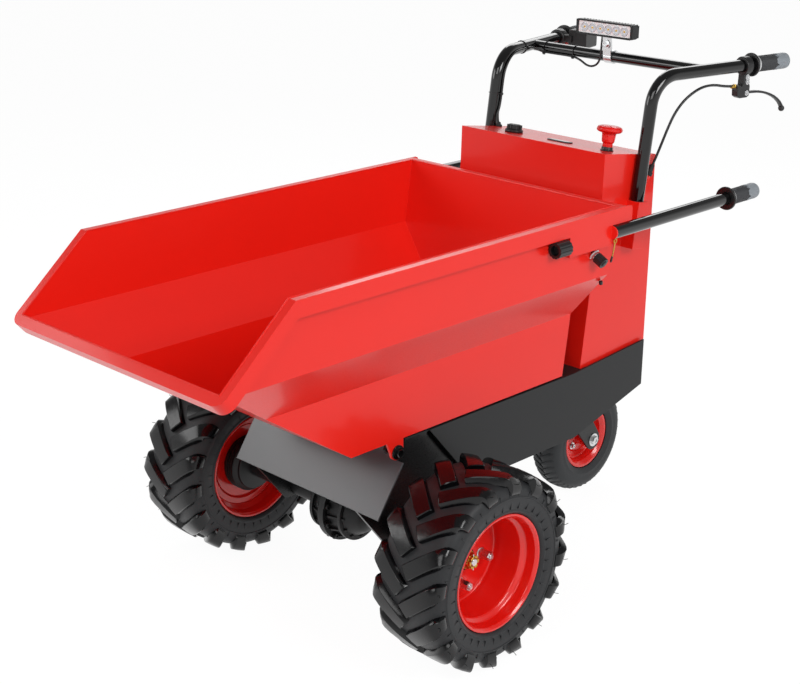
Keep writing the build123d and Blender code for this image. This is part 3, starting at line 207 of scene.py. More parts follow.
ray = add(sky_tree, "ShaderNodeLightPath").outputs
straight = calc(sky_tree, "MAXIMUM", ray["Is Camera Ray"], ray["Is Transmission Ray"])
direction = add(sky_tree, "ShaderNodeTexCoord").outputs["Generated"]
sky_height = add(sky_tree, "ShaderNodeSeparateXYZ", {"Vector": direction}).outputs["Z"]
fill = ramp(sky_height, FILL_LOW, FILL_HIGH, SKY_LOW, SKY_HIGH)
gloss = ramp(sky_height, SKY_SEEN, GLOSS_HIGH, SKY_LOW, SKY_HIGH)
strength = ramp(straight, ramp(ray["Is Glossy Ray"], fill, gloss), SKY_SEEN)
sky = add(sky_tree, "ShaderNodeBackground", {"Color": (1, 1, 1, 1), "Strength": strength})
add(sky_tree, "ShaderNodeOutputWorld", {"Surface": sky.outputs[0]})

# name, place, width, height, watts
SOFT_BOXES = [
    ("key_box", (1.4, -3.2, 3.2), 2.2, 1.6, 38.0),
    ("side_box", (3.6, -0.2, 2.9), 1.8, 1.4, 80.0),
    ("back_box", (-1.8, 2.8, 2.8), 2.4, 1.6, 36.0),
    ("low_box", (-2.3, -2.3, 2.0), 1.8, 1.2, 24.0),
]
LIGHT_AIM = Vector((0, -0.1, 0.55))
for name, place, width, height, watts in SOFT_BOXES:
    lamp = bpy.data.lights.new(name, "AREA")
    lamp.shape = "RECTANGLE"
    lamp.size, lamp.size_y, lamp.energy = width, height, watts
    box = placed(name, lamp)
    box.location = place
    box.rotation_euler = (LIGHT_AIM - Vector(place)).to_track_quat("-Z", "Y").to_euler()
print("soft boxes", len(SOFT_BOXES))

# %% [markdown]
# ## Finishes
#
# Each finish starts from what the real surface is and how it was made. All
# patterns read Object coordinates, which are metres here, so a grain of 2 mm
# is a noise scale of 500. The relief of paint and rubber is a bump of a few
# hundredths of a millimetre.


# %% A finish with grain, mottle and relief
def finish(name, hex_colour, roughness, metallic=0.0, specular=0.5, coat=0.0, coat_roughness=0.1,
           grain_mm=2.0, relief_mm=0.02, mottle=0.04, mottle_mm=120.0, rough_spread=0.06):
    """A surface of one colour whose tone, roughness and relief vary at real sizes."""
    material = bpy.data.materials.new(name)
    material.use_nodes = True
    tree = material.node_tree
    tree.nodes.clear()
    place = add(tree, "ShaderNodeTexCoord").outputs["Object"]
    cloud = add(tree, "ShaderNodeTexNoise", {"Vector": place, "Scale": 1000.0 / mottle_mm, "Detail": 3.0})
    grain = add(tree, "ShaderNodeTexNoise", {"Vector": place, "Scale": 1000.0 / grain_mm, "Detail": 2.0})
    tone = linear(hex_colour)
    darker = tuple(c * (1 - mottle) for c in tone[:3]) + (1.0,)
    lighter = tuple(min(1.0, c * (1 + mottle)) for c in tone[:3]) + (1.0,)
    mix = tree.nodes.new("ShaderNodeMix")
    mix.data_type = "RGBA"
    tree.links.new(cloud.outputs["Fac"], mix.inputs[0])
    mix.inputs[6].default_value = darker
    mix.inputs[7].default_value = lighter
    rough = add(tree, "ShaderNodeMapRange", {
        "Value": grain.outputs["Fac"], "From Min": 0.3, "From Max": 0.7,
        "To Min": max(0.03, roughness - rough_spread), "To Max": min(1.0, roughness + rough_spread)})
    bump = add(tree, "ShaderNodeBump", {"Height": grain.outputs["Fac"], "Strength": 1.0, "Distance": relief_mm * MM})
    surface = add(tree, "ShaderNodeBsdfPrincipled", {
        "Base Color": mix.outputs[2], "Roughness": rough.outputs[0], "Metallic": metallic,
        "Specular IOR Level": specular, "Coat Weight": coat, "Coat Roughness": coat_roughness,
        "Normal": bump.outputs[0]})
    add(tree, "ShaderNodeOutputMaterial", {"Surface": surface.outputs[0]})
    return material


# %% The finishes of this machine
# name: colour, roughness, metallic, specular, coat, coat roughness, grain in mm, relief in mm, mottle, mottle in mm,
# spread of the roughness. A short row keeps the defaults of the last columns.
LOOKS = {
    "red_powder_coat": ("EE2115", 0.34, 0.0, 0.22, 0.35, 0.12, 2.5, 0.006, 0.025),
    "red_wheel_enamel": ("E61A12", 0.22, 0.0, 0.5, 0.3, 0.1, 9.0, 0.006, 0.02, 120.0, 0.03),
    "grey_powder_coat": ("202122", 0.42, 0.0, 0.25, 0.0, 0.1, 1.2, 0.01),
    # The front guard has the chassis's dark grey paint. This grey is lighter to paint in the sheen of the white it
    # reflects.
    "satin_grey_coat": ("3F4346", 0.36, 0.0, 0.5, 0.4, 0.2, 1.2, 0.01),
    "black_powder_coat": ("111112", 0.3, 0.0, 0.4, 0.0, 0.1, 1.2, 0.015),
    "black_gloss_enamel": ("040405", 0.1, 0.0, 0.4, 0.35, 0.03, 8.0, 0.006, 0.02, 120.0, 0.03),
    "black_painted_casting": ("121213", 0.48, 0.0, 0.35, 0.0, 0.1, 1.6, 0.1),
    "zinc_plated_steel": ("D6D7D8", 0.26, 1.0, 0.5, 0.0, 0.1, 1.4, 0.008),
    "yellow_passivate": ("C9A34A", 0.3, 1.0, 0.5, 0.0, 0.1, 2.0, 0.01, 0.2, 5.0),
    "turned_steel": ("8E9092", 0.34, 1.0, 0.5, 0.0, 0.1, 1.0, 0.01),
    "tyre_rubber": ("060608", 0.2, 0.0, 0.4, 0.0, 0.1, 7.0, 0.03, 0.2, 40.0, 0.05),
    "sidewall_rubber": ("242527", 0.5, 0.0, 0.35, 0.0, 0.1, 2.0, 0.05, 0.15, 30.0),
    "caster_rubber": ("2A2C2E", 0.55, 0.0, 0.35, 0.0, 0.1, 1.5, 0.04, 0.1, 30.0),
    "bumper_rubber": ("1A1A1A", 0.7, 0.0, 0.5, 0.0, 0.1, 1.5, 0.05),
    "grip_rubber": ("3A3B3E", 0.58, 0.0, 0.35, 0.0, 0.1, 0.9, 0.05),
    "grip_soft_end": ("8A9096", 0.5, 0.0, 0.35, 0.0, 0.1, 0.9, 0.03),
    "cable_sheath": ("161617", 0.36, 0.0, 0.5, 0.0, 0.1, 2.0, 0.01),
    "black_abs": ("161617", 0.36, 0.0, 0.5, 0.0, 0.1, 0.8, 0.02),
    "red_abs": ("E2140E", 0.24, 0.0, 0.4, 0.2, 0.1, 6.0, 0.006),
    "black_anodised": ("1A1B1D", 0.36, 0.3, 0.5, 0.0, 0.1, 0.8, 0.008),
    "clear_lens": ("FFFFFF", 0.3, 0.0, 0.15, 0.0, 0.1, 6.0, 0.002, 0.01),
    "reflector": ("C9CDD2", 0.25, 0.4, 0.5, 0.0, 0.1, 4.0, 0.002),
    "dark_display": ("2A0F0C", 0.12, 0.0, 0.5, 0.6, 0.03, 4.0, 0.002),
}
FINISHES = {name: finish(name, *values) for name, values in LOOKS.items()}
print("finishes", len(FINISHES))

SLOT_FINISH = {
    "red_paint": "red_powder_coat", "rim_red": "red_wheel_enamel", "dark_grey": "grey_powder_coat",
    "frame_black": "black_powder_coat", "cast_black": "black_painted_casting",
    "gloss_black": "black_gloss_enamel", "zinc": "zinc_plated_steel", "hub_steel": "turned_steel",
    "rubber": "bumper_rubber", "grip_rubber": "grip_rubber", "cable_black": "cable_sheath",
    "black_plastic": "black_abs", "red_plastic": "red_abs", "lamp_black": "black_anodised",
    "lens": "clear_lens", "display": "dark_display", "tyre": "tyre_rubber",
}
NODE_SLOT = {part["node"]: part["material_slot"] for part in frame["record"]["subparts"]}
NODE_BODY = {node: body for body, members in frame["record"]["behaviour"]["bodies"].items() for node in members}
NODE_LOOK = {node: SLOT_FINISH[slot] for node, slot in NODE_SLOT.items()}
# The guard's lighter grey is a painted sheen over the chassis's dark grey paint.
NODE_LOOK["front_guard"] = "satin_grey_coat"

for name, thing in nodes.items():
    for slot in thing.material_slots:
        slot.material = FINISHES[NODE_LOOK[name]]

# %% [markdown]
# ## Building pieces
#
# Most small parts are turned, cut from plate or drawn as tube, so three
# functions cover them: one turns a profile about an axis, one extrudes an
# outline and one carries an outline along a path. Each works in millimetres in
# a frame of its own, as the parts are drawn in a workshop. A piece is then a
# list of steps: each names one of these functions and gives its values.


# %% Frames and outlines
def frame_at(origin, z_axis=(0, 0, 1), x_axis=(1, 0, 0)):
    """From local millimetres to the world: local Z along z_axis, local X near x_axis.

    The two must not be parallel: such a frame has no width, and what is built in it collapses to a line.
    """
    z = Vector(z_axis).normalized()
    x = Vector(x_axis)
    x = (x - z * x.dot(z)).normalized()
    turn = Matrix((x, z.cross(x), z)).transposed().to_4x4()
    return Matrix.Translation(Vector(origin) * MM) @ turn @ Matrix.Scale(MM, 4)


def sideways(origin, side=1):
    """A frame whose local Z points out to one side and whose local X points to the rear."""
    return frame_at(origin, (side, 0, 0), (0, 1, 0))


def raised(frame, height):
    """The same frame further along its local Z."""
    return frame @ Matrix.Translation((0, 0, height))


def rounded(points, radius, steps=4, closed=True):
    """An outline with its corners turned into arcs. A third number is a corner's own radius."""
    nearly_straight = 1.54
    out = []
    for i, point in enumerate(points):
        here = Vector(point[:2])
        back = Vector(points[i - 1][:2]) - here
        ahead = Vector(points[(i + 1) % len(points)][:2]) - here
        own = point[2] if len(point) > 2 else radius
        half = back.angle(ahead) / 2
        if own <= 0 or half > nearly_straight or (not closed and i in (0, len(points) - 1)):
            out.append(tuple(here))
            continue
        reach = min(own / math.tan(half), back.length * 0.49, ahead.length * 0.49)
        centre = here + (back.normalized() + ahead.normalized()).normalized() * (reach / math.cos(half))
        start = here + back.normalized() * reach - centre
        end = here + ahead.normalized() * reach - centre
        turn = math.atan2(start.x * end.y - start.y * end.x, start.dot(end))
        for step in range(steps + 1):
            c, s = math.cos(turn * step / steps), math.sin(turn * step / steps)
            out.append(tuple(centre + Vector((start.x * c - start.y * s, start.x * s + start.y * c))))
    return out


def circle(radius, sides=12):
    angles = [2 * math.pi * i / sides for i in range(sides)]
    return [(radius * math.cos(a), radius * math.sin(a)) for a in angles]


# %% Solids
def skin(bm, rings, closed=False):
    """Faces between rings of vertices. A ring of one repeated vertex is a pole."""
    pairs = list(zip(rings, rings[1:])) + ([(rings[-1], rings[0])] if closed else [])
    for low, high in pairs:
        for i in range(len(low)):
            j = (i + 1) % len(low)
            corners = list(dict.fromkeys((low[i], low[j], high[j], high[i])))
            if len(corners) > 2:
                bm.faces.new(corners)


def capped(bm, rings):
    """A skin with a face over its first and over its last ring."""
    bm.faces.new(rings[0][::-1])
    bm.faces.new(rings[-1])
    skin(bm, rings)


def turned(bm, profile, frame, segments=48, soft=0.0, steps=3):
    """A solid turned about local Z from its (radius, height) section, whose corners may be softened."""
    on_axis = 0.001
    open_ring = profile[0][0] > on_axis
    if soft:
        profile = rounded(profile, soft, steps, open_ring)
    rings = []
    for radius, height in profile:
        if radius < on_axis:
            rings.append([bm.verts.new(frame @ Vector((0, 0, height)))] * segments)
        else:
            rings.append([bm.verts.new(frame @ Vector((x, y, height))) for x, y in circle(radius, segments)])
    skin(bm, rings, closed=open_ring)


def prism(bm, outline, low, high, frame):
    """An outline extruded along local Z."""
    capped(bm, [[bm.verts.new(frame @ Vector((x, y, z))) for x, y in outline] for z in (low, high)])


def block(bm, x, y, z, frame, soft=0.0, steps=3):
    """A block from the first to the second of x, of y and of z, its edges along local Z softened."""
    prism(bm, rounded([(x[0], y[0]), (x[1], y[0]), (x[1], y[1]), (x[0], y[1])], soft, steps), *z, frame)


def swept(bm, path, outline, first=(0, 0, 1)):
    """An outline carried along a path in millimetres, its local Y kept near the first direction."""
    points = [Vector(point) for point in path]
    side = Vector(first)
    rings = []
    for i, point in enumerate(points):
        ahead = (points[min(i + 1, len(points) - 1)] - points[max(i - 1, 0)]).normalized()
        side = (side - ahead * side.dot(ahead)).normalized()
        across = side.cross(ahead)
        rings.append([bm.verts.new((point + across * x + side * y) * MM) for x, y in outline])
    capped(bm, rings)


# %% Nuts and bolts
def hexagon(bm, frame, flats, height, bore_mark=0.0):
    """A hexagon nut or bolt head with its chamfered top."""
    corner = flats / 2 / math.cos(math.pi / 6)
    top = [(0, height)] if not bore_mark else [(bore_mark, height), (bore_mark, height - 1.5), (0, height - 1.5)]
    turned(bm, [(0, 0), (corner, 0), (corner, height - 0.12 * flats), (0.86 * corner, height), *top], frame, 6)


def bolt(bm, frame, flats=13.0, height=8.0, washer=1.5):
    """A hexagon head on a round washer, with a shallow dish in its top."""
    turned(bm, [(0, 0), (flats * 0.86, 0), (flats * 0.86, washer), (0, washer)], frame, 24)
    hexagon(bm, raised(frame, washer), flats, height, flats * 0.28)


# %% From steps to a finished piece
def mesh_from(name, steps, mirrored=False):
    """A mesh built step by step, its faces smooth and turned outward."""
    bm = bmesh.new()
    for step, *values in steps:
        step(bm, *values)
    if mirrored:
        bmesh.ops.scale(bm, vec=(-1, 1, 1), verts=bm.verts)
    bmesh.ops.recalc_face_normals(bm, faces=bm.faces)
    for face in bm.faces:
        face.smooth = True
    mesh = bpy.data.meshes.new(name)
    bm.to_mesh(mesh)
    bm.free()
    return mesh


def baked(thing):
    """The object with its modifiers applied, under the same name."""
    bpy.context.view_layer.update()
    evaluated = thing.evaluated_get(bpy.context.evaluated_depsgraph_get())
    mesh = bpy.data.meshes.new_from_object(evaluated)
    name = thing.name
    bpy.data.objects.remove(thing)
    return placed(name, mesh)


def paint(piece, slot, look=None):
    """Give a whole piece the finish of a material slot, or another look."""
    piece.data.materials.clear()
    piece.data.materials.append(FINISHES[look or SLOT_FINISH[slot]])


def ship(piece, body, replaced=None):
    """Hand a finished piece over: the body it rides on and what it stands for."""
    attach(piece, body)
    if replaced:
        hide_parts(replaced)
    return piece


def make(name, slot, *steps, body="chassis", replaced=None, look=None, sharp_deg=32.0, bevel_mm=0.0, mirrored=False):
    """A finished piece with its shading edges or, if asked, with rolled-over corners."""
    mesh = mesh_from(name, steps, mirrored)
    piece = placed(name, mesh)
    if bevel_mm:
        bevel = piece.modifiers.new("rolled_corners", "BEVEL")
        bevel.width = bevel_mm * MM
        bevel.limit_method = "ANGLE"
        bevel.angle_limit = math.radians(sharp_deg)
        bevel.segments = 2
        piece.modifiers.new("flat_faces_stay_flat", "WEIGHTED_NORMAL")
        piece = baked(piece)
    else:
        mesh.set_sharp_from_angle(angle=math.radians(sharp_deg))
    paint(piece, slot, look)
    return ship(piece, body, replaced)


# %% Measures of the construction
def corners_of(node):
    """Lowest and highest corner of a CAD node, in millimetres."""
    return [Vector(corner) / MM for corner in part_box(node)]


def middle_of(node):
    low, high = corners_of(node)
    return (low + high) / 2


HANDS = (("left", 1), ("right", -1))
AXLE_WAY = sideways((0, 0, 0))
print("wheels", [round(c) for c in middle_of("tyre_left")], "mm from the middle")

# %% [markdown]
# ## Repeats
#
# Tread lugs, cooling fins and nuts are one shape many times over. A Geometry
# Nodes tree sets copies of one object along a line, about an axis or both. The
# copies are made real and given their material inside the tree, and what
# leaves it is a plain mesh.


# %% The repeat tree
def repeat_tree():
    tree = bpy.data.node_groups.new("repeat", "GeometryNodeTree")
    face = tree.interface
    face.new_socket("Geometry", in_out="OUTPUT", socket_type="NodeSocketGeometry")
    for name, kind in (("Source", "Object"), ("Count", "Int"), ("Centre", "Vector"), ("Step", "Vector"),
                       ("Axis", "Vector"), ("Turn First", "Float"), ("Turn Each", "Float"),
                       ("Jitter", "Float"), ("Seed", "Int"), ("Material", "Material")):
        face.new_socket(name, in_out="INPUT", socket_type="NodeSocket" + kind)
    given = add(tree, "NodeGroupInput").outputs
    line = add(tree, "GeometryNodeMeshLine", {"Count": given["Count"], "Start Location": given["Centre"],
                                              "Offset": given["Step"]})
    source = add(tree, "GeometryNodeObjectInfo", {"Object": given["Source"]})
    index = add(tree, "GeometryNodeInputIndex")
    each = calc(tree, "MULTIPLY_ADD", index.outputs[0], given["Turn Each"], given["Turn First"])
    least = calc(tree, "MULTIPLY", given["Jitter"], -1.0)
    shake = add(tree, "FunctionNodeRandomValue", {2: least, 3: given["Jitter"], "Seed": given["Seed"]},
                data_type="FLOAT")
    angle = calc(tree, "ADD", each, shake.outputs[1])
    turn = add(tree, "FunctionNodeAxisAngleToRotation", {"Axis": given["Axis"], "Angle": angle})
    copies = add(tree, "GeometryNodeInstanceOnPoints", {
        "Points": line.outputs[0], "Instance": source.outputs["Geometry"], "Rotation": turn.outputs[0]})
    real = add(tree, "GeometryNodeRealizeInstances", {"Geometry": copies.outputs[0]})
    coloured = add(tree, "GeometryNodeSetMaterial", {"Geometry": real.outputs[0], "Material": given["Material"]})
    add(tree, "NodeGroupOutput", {"Geometry": coloured.outputs[0]})
    return tree


REPEAT = repeat_tree()


def repeated(name, slot, count, look, *steps, centre=(0, 0, 0), step=(0, 0, 0), axis=(1, 0, 0), first=0.0, each=0.0,
             jitter=0.0, seed=1, sharp_deg=32.0, body="chassis", mirrored=False):
    """Copies of one small shape as a plain piece. Angles are in degrees, places in millimetres."""
    mesh = mesh_from(name + "_source", steps, mirrored)
    mesh.set_sharp_from_angle(angle=math.radians(sharp_deg))
    source = placed(mesh.name, mesh)
    base = placed(name, bpy.data.meshes.new(name))
    values = {"Source": source, "Count": count, "Centre": [c * MM for c in centre], "Step": [c * MM for c in step],
              "Axis": list(axis), "Turn First": math.radians(first), "Turn Each": math.radians(each),
              "Jitter": math.radians(jitter), "Seed": seed, "Material": FINISHES[look]}
    repeat = base.modifiers.new("repeat", "NODES")
    repeat.node_group = REPEAT
    for item in REPEAT.interface.items_tree:
        if item.in_out == "INPUT":
            repeat[item.identifier] = values[item.name]
    plain = baked(base)
    bpy.data.objects.remove(source)
    return ship(plain, body)


# %% [markdown]
# ## Softened edges
#
# No pressed or moulded edge is sharp, and the thin line of light along each
# edge is what makes sheet metal look real. A copy of a piece's mesh is merged,
# its flat faces are joined again, and a Bevel modifier rolls the edges over:
# wide on the folds between broad panels, narrow on a sheet's cut edges.


# %% Softened copies
WELD = 0.02 * MM
FLAT = math.radians(0.6)
BROAD = 9.0 * MM


def softened(node, fold_mm, edge_mm, sharp_deg=30.0):
    """Replace a CAD node by a merged copy with rolled edges: wide between broad faces, narrow elsewhere."""
    bm = bmesh.new()
    bm.from_mesh(nodes[node].data)
    bmesh.ops.remove_doubles(bm, verts=bm.verts, dist=WELD)
    bmesh.ops.dissolve_limit(bm, angle_limit=FLAT, verts=bm.verts, edges=bm.edges)
    weights = bm.edges.layers.float.new("bevel_weight_edge")
    for edge in bm.edges:
        if len(edge.link_faces) != 2 or edge.calc_face_angle(0.0) < math.radians(sharp_deg):
            continue
        narrow = min(f.calc_area() / max(e.calc_length() for e in f.edges) for f in edge.link_faces)
        edge[weights] = 1.0 if narrow > BROAD else edge_mm / fold_mm
    for face in bm.faces:
        face.smooth = True
    mesh = bpy.data.meshes.new(node + "_finished")
    bm.to_mesh(mesh)
    bm.free()
    piece = placed(mesh.name, mesh)
    bevel = piece.modifiers.new("rolled_edges", "BEVEL")
    bevel.width = fold_mm * MM
    bevel.limit_method = "WEIGHT"
    bevel.segments = 3
    weighted = piece.modifiers.new("flat_faces_stay_flat", "WEIGHTED_NORMAL")
    weighted.keep_sharp = True
    weighted.weight = 80
    solid = baked(piece)
    paint(solid, NODE_SLOT[node], NODE_LOOK[node])
    return ship(solid, NODE_BODY[node], node)


# node: fold radius, cut-edge radius
SHEET_METAL = {
    "hopper_shell": (1.6, 0.6),
    "cabinet_shell": (3.0, 0.7),
    "cabinet_door": (1.2, 0.7),
    "chassis_frame": (3.0, 0.9),
    "front_guard": (1.5, 0.9),
    "axle_carrier": (1.5, 1.0),
    "pivot_bracket_left": (1.2, 0.8),
    "pivot_bracket_right": (1.2, 0.8),
    "caster_fork": (1.5, 1.0),
    "caster_plate": (1.5, 1.0),
}
for node, (fold, edge) in SHEET_METAL.items():
    piece = softened(node, fold, edge)
    print(piece.name, len(piece.data.polygons), "faces")

# %% [markdown]
# ## Drive wheels
#
# The drive tyres are small tractor tyres: a smooth round carcass moulded from
# carbon-black rubber, with deep chevron lugs that run from the crown over the
# shoulder and down the sidewall. The carcass is turned from its section, with
# the rim cushion and the raised ring of the mould's joint. One lug is swept
# over the shoulder and the repeat tree sets sixteen of them a side, the two
# sides half a pitch apart, as on the real tread.

# %% One chevron lug
LUG_COUNT = 16
LUG_ANGLE = math.radians(39)
LUG_HALF = 15.5
LUG_OUTSIDE = 84.6
LUG_WRAP = 197

# along the lug: distance out from the crown's middle line, lag behind it, radius, tilt of the face, how
# far its width direction has turned from the lug's own angle to straight round the tyre
LUG_STATIONS = [
    (3.5, 31, 201.4, 0, 0), (5, 29.8, 202.9, 0, 0), (20, 17.7, 203, 0, 0), (36, 4.7, 202.9, 2, 0),
    (52, -8.2, 202.2, 4, 0), (64, -17.5, 200.8, 10, 0.15), (72, -23, 198.4, 22, 0.35),
    (78.5, -27, 194, 42, 0.6), (82.6, -29.5, 187.5, 62, 0.8), (84.4, -31, 180, 80, 0.95),
    (84.2, -32, 172, 90, 1), (82.6, -32.6, 166.5, 96, 1), (80.2, -33, 163, 110, 1),
]
# across the lug: share of the half width, extra width at the foot, depth
LUG_SECTION = [(-1, -5, 16), (-1, -0.4, 1.6), (-0.93, 0, 0.25), (0, 0, -0.15), (0.93, 0, 0.25),
               (1, 0.4, 1.6), (1, 5, 16)]


def chevron(bm, stations, section, half_width, angle, outside, wrap, side):
    """A tread block about the X axis, carried over the tyre's shoulder on one side of its middle.

    No point lies further out than outside, and wrap is the radius at which the lag is measured.
    """
    rings = []
    for out, lag, radius, tilt, swing in stations:
        tilt = math.radians(tilt)
        turn = angle * (1 - swing)
        ring = []
        for share, extra, depth in section:
            across = share * half_width + extra
            slant = across * math.sin(turn) * (1 if swing < 0.99 else 0)
            axial = min(out + slant - depth * math.sin(tilt), outside)
            reach = radius - depth * math.cos(tilt)
            round_by = (lag + across * math.cos(turn)) / wrap
            place = (reach * math.cos(round_by), reach * math.sin(round_by), side * axial)
            ring.append(bm.verts.new(AXLE_WAY @ Vector(place)))
        rings.append(ring)
    capped(bm, rings)


# %% Tyres
WHEEL = middle_of("tyre_left")
WHEEL_FRAME = sideways(WHEEL)
# radius, distance from the tyre's middle plane
TYRE_HALF = [
    (117, 45), (116.2, 47), (116.2, 64.5), (119, 67.4), (121.7, 68.8), (122.6, 72.4), (125, 74.6),
    (127, 76.4), (129.6, 77), (130.6, 76.2), (133.5, 76.4), (140, 78.6), (149, 79.6), (155.6, 79.8),
    (156.5, 81), (158.6, 81), (159.4, 79.8), (166, 79), (172.5, 77), (178.5, 73.4), (183.6, 67.6),
    (187.4, 58.6), (189.6, 47), (190.6, 32), (191, 14),
]


def both_halves(half):
    return half + [(radius, -height) for radius, height in half[::-1]]


for hand, mirror in HANDS:
    make(f"tyre_{hand}_carcass", "tyre", (turned, both_halves(TYRE_HALF), WHEEL_FRAME, 128), body=f"wheel_{hand}",
         replaced=f"tyre_{hand}", look="sidewall_rubber", sharp_deg=50, mirrored=mirror < 0)

pitch = 360 / LUG_COUNT
for hand, mirror in HANDS:
    for side, name in ((1, "outer"), (-1, "inner")):
        lug = (chevron, LUG_STATIONS, LUG_SECTION, LUG_HALF, LUG_ANGLE, LUG_OUTSIDE, LUG_WRAP, side)
        repeated(f"tyre_{hand}_lugs_{name}", "tyre", LUG_COUNT, "tyre_rubber", lug,
                 centre=(mirror * WHEEL.x, WHEEL.y, WHEEL.z), first=0 if side > 0 else pitch / 2, each=pitch,
                 sharp_deg=38, body=f"wheel_{hand}", mirrored=mirror < 0)
print("lugs", 2 * 2 * LUG_COUNT, "at", round(pitch, 1), "degrees")

# %% [markdown]
# The sidewalls keep what the mould leaves: short radial ribs above the rim and
# thin hairs of rubber where the air was vented.

# %% Mould ribs and vent hairs
# name, count, inner radius, length, half width, height, first angle
SIDEWALL_MARKS = [("ribs", 36, 134, 15, 0.7, 78.2, 2), ("ticks", 36, 160, 9, 0.6, 78.9, 5)]
HAIR_PATH = [(81, 184, 0), (86.5, 187, 0.6), (89, 192, 1.8)]
for hand, mirror in HANDS:
    body, centre = f"wheel_{hand}", (mirror * WHEEL.x, WHEEL.y, WHEEL.z)
    for name, count, reach, length, half, height, first in SIDEWALL_MARKS:
        both_sides = [(block, (reach, reach + length), (-half, half), (side * (height - 1.5), side * (height + 1.3)),
                       AXLE_WAY) for side in (1, -1)]
        repeated(f"tyre_{hand}_{name}", "tyre", count, "sidewall_rubber", *both_sides, centre=centre, first=first,
                 each=360 / count, jitter=0.8, seed=3, body=body)
    repeated(f"tyre_{hand}_hairs", "tyre", LUG_COUNT, "tyre_rubber", (swept, HAIR_PATH, circle(0.6, 5)),
             centre=centre, first=-9.6, each=pitch, jitter=2, seed=5, body=body, mirrored=mirror < 0)

# %% [markdown]
# The rims are rolled from steel band and welded to a pressed disc, then
# dipped in red enamel. Rolling leaves every corner round.

# %% Rims
# radius, distance from the middle plane, corner radius
RIM_SECTION = [
    (121, 72, 2.6), (120.8, 68.4, 1), (115.3, 66.6, 2.5), (115.3, 46, 4), (104, 39, 5),
    (104, -39, 5), (115.3, -46, 4), (115.3, -66.6, 2.5), (120.8, -68.4, 1), (121, -72, 2.6),
    (116.8, -72, 2.6), (111.6, -66.5, 5), (111.6, -44.8, 5), (100.5, -37.8, 6), (100.5, -34.8, 3),
    (88, -34.8, 4), (83.5, -28.8, 4), (25, -28.8, 0.5), (25, -25.2, 1), (85.5, -25.2, 5),
    (90, -31.2, 4), (100.5, -31.2, 4), (100.5, 37.8, 7), (111.6, 44.8, 7), (111.6, 66.5, 6),
    (116.8, 72, 2.6),
]
for hand, mirror in HANDS:
    make(f"rim_{hand}_rolled", "rim_red", (turned, RIM_SECTION, WHEEL_FRAME, 96, 2, 4), body=f"wheel_{hand}",
         replaced=f"rim_{hand}", sharp_deg=60, mirrored=mirror < 0)

# %% [markdown]
# The hub is a painted brake drum with four long plated nuts and, in the
# middle, a castle nut with its split pin, yellow from its zinc passivation.

# %% Hubs
BOLT_REACH, BOLT_TURN = 53, -8.6
DISC_FACE, HUB_FACE, DRUM_RIBS = -25.2, -13.2, -57
hub_end = raised(WHEEL_FRAME, HUB_FACE)
stud = sideways((0, BOLT_REACH, 0))
teeth = [(prism, [(8.5, -4.6), (13.2, -4.2), (13.8, 0), (13.2, 4.2), (8.5, 4.6)], 12, 19.5,
          hub_end @ Matrix.Rotation(math.radians(60 * i), 4, "Z")) for i in range(6)]
split_pin = raised(hub_end, 16) @ Matrix.Rotation(math.radians(90), 4, "X")
for hand, mirror in HANDS:
    body, mirrored = f"wheel_{hand}", mirror < 0
    drum = [(0, HUB_FACE), (19, HUB_FACE), (24, -17), (24, -28.9), (60, -28.9), (61, -60), (53, -68),
            (53, -74.5), (0, -74.5)]
    make(f"hub_{hand}_drum", "cast_black", (turned, drum, WHEEL_FRAME, 64, 2), body=body,
         replaced=f"hub_{hand}", mirrored=mirrored)
    repeated(f"hub_{hand}_ribs", "cast_black", 4, "black_painted_casting",
             (turned, [(59, 0), (62, 0), (62, 3), (59, 3)], AXLE_WAY, 64, 0.8, 2),
             centre=(mirror * (WHEEL.x + DRUM_RIBS), WHEEL.y, WHEEL.z), step=(mirror * 6.5, 0, 0), body=body)
    repeated(f"hub_{hand}_nuts", "zinc", 4, "zinc_plated_steel",
             (turned, [(0, 0), (11.5, 0), (11.5, 2), (9, 2.5), (0, 2.5)], stud, 24, 0.4, 2),
             (hexagon, raised(stud, 2.5), 17, 26, 5.6),
             (turned, [(0, 24), (5, 24), (5, 30.5), (4, 31.8), (0, 31.8)], stud, 20),
             centre=(mirror * (WHEEL.x + DISC_FACE), WHEEL.y, WHEEL.z), first=BOLT_TURN, each=90, sharp_deg=25,
             body=body, mirrored=mirrored)
    make(f"hub_{hand}_castle_nut", "zinc", (turned, [(0, 0), (19, 0), (19, 2.2), (0, 2.2)], hub_end, 32),
         (hexagon, raised(hub_end, 2.2), 30, 11), *teeth, body=body, look="yellow_passivate", bevel_mm=0.5,
         mirrored=mirrored)
    make(f"hub_{hand}_spindle", "zinc",
         (turned, [(0, 2), (8, 2), (8, 19), (6.8, 20.5), (0, 20.5)], hub_end, 24),
         (turned, [(0, -17), (1.7, -17), (1.7, 17), (0, 17)], split_pin, 10), body=body, mirrored=mirrored)
print("wheel pieces done")

# %% [markdown]
# ## Caster
#
# The single rear wheel is a ten-inch barrow wheel: a pressed red rim and a
# pneumatic tyre with a low herringbone tread. The tread is a block with a
# bend in it, again repeated round the axle.

# %% Caster wheel
CASTER = middle_of("caster_tyre")
CASTER_FRAME = sideways(CASTER)
CASTER_HALF = [
    (79.5, 28.5), (78.6, 30), (78.6, 33), (83, 36.6), (90, 38.6), (92, 39.6), (94, 39.6), (96, 38.9),
    (104, 39.8), (112, 39.2), (119, 37.2), (125, 33.4), (129.5, 27.6), (132.4, 19), (133.6, 8),
]
make("caster_tyre_carcass", "tyre", (turned, both_halves(CASTER_HALF), CASTER_FRAME, 112), body="caster_wheel",
     replaced="caster_tyre", look="caster_rubber", sharp_deg=50)

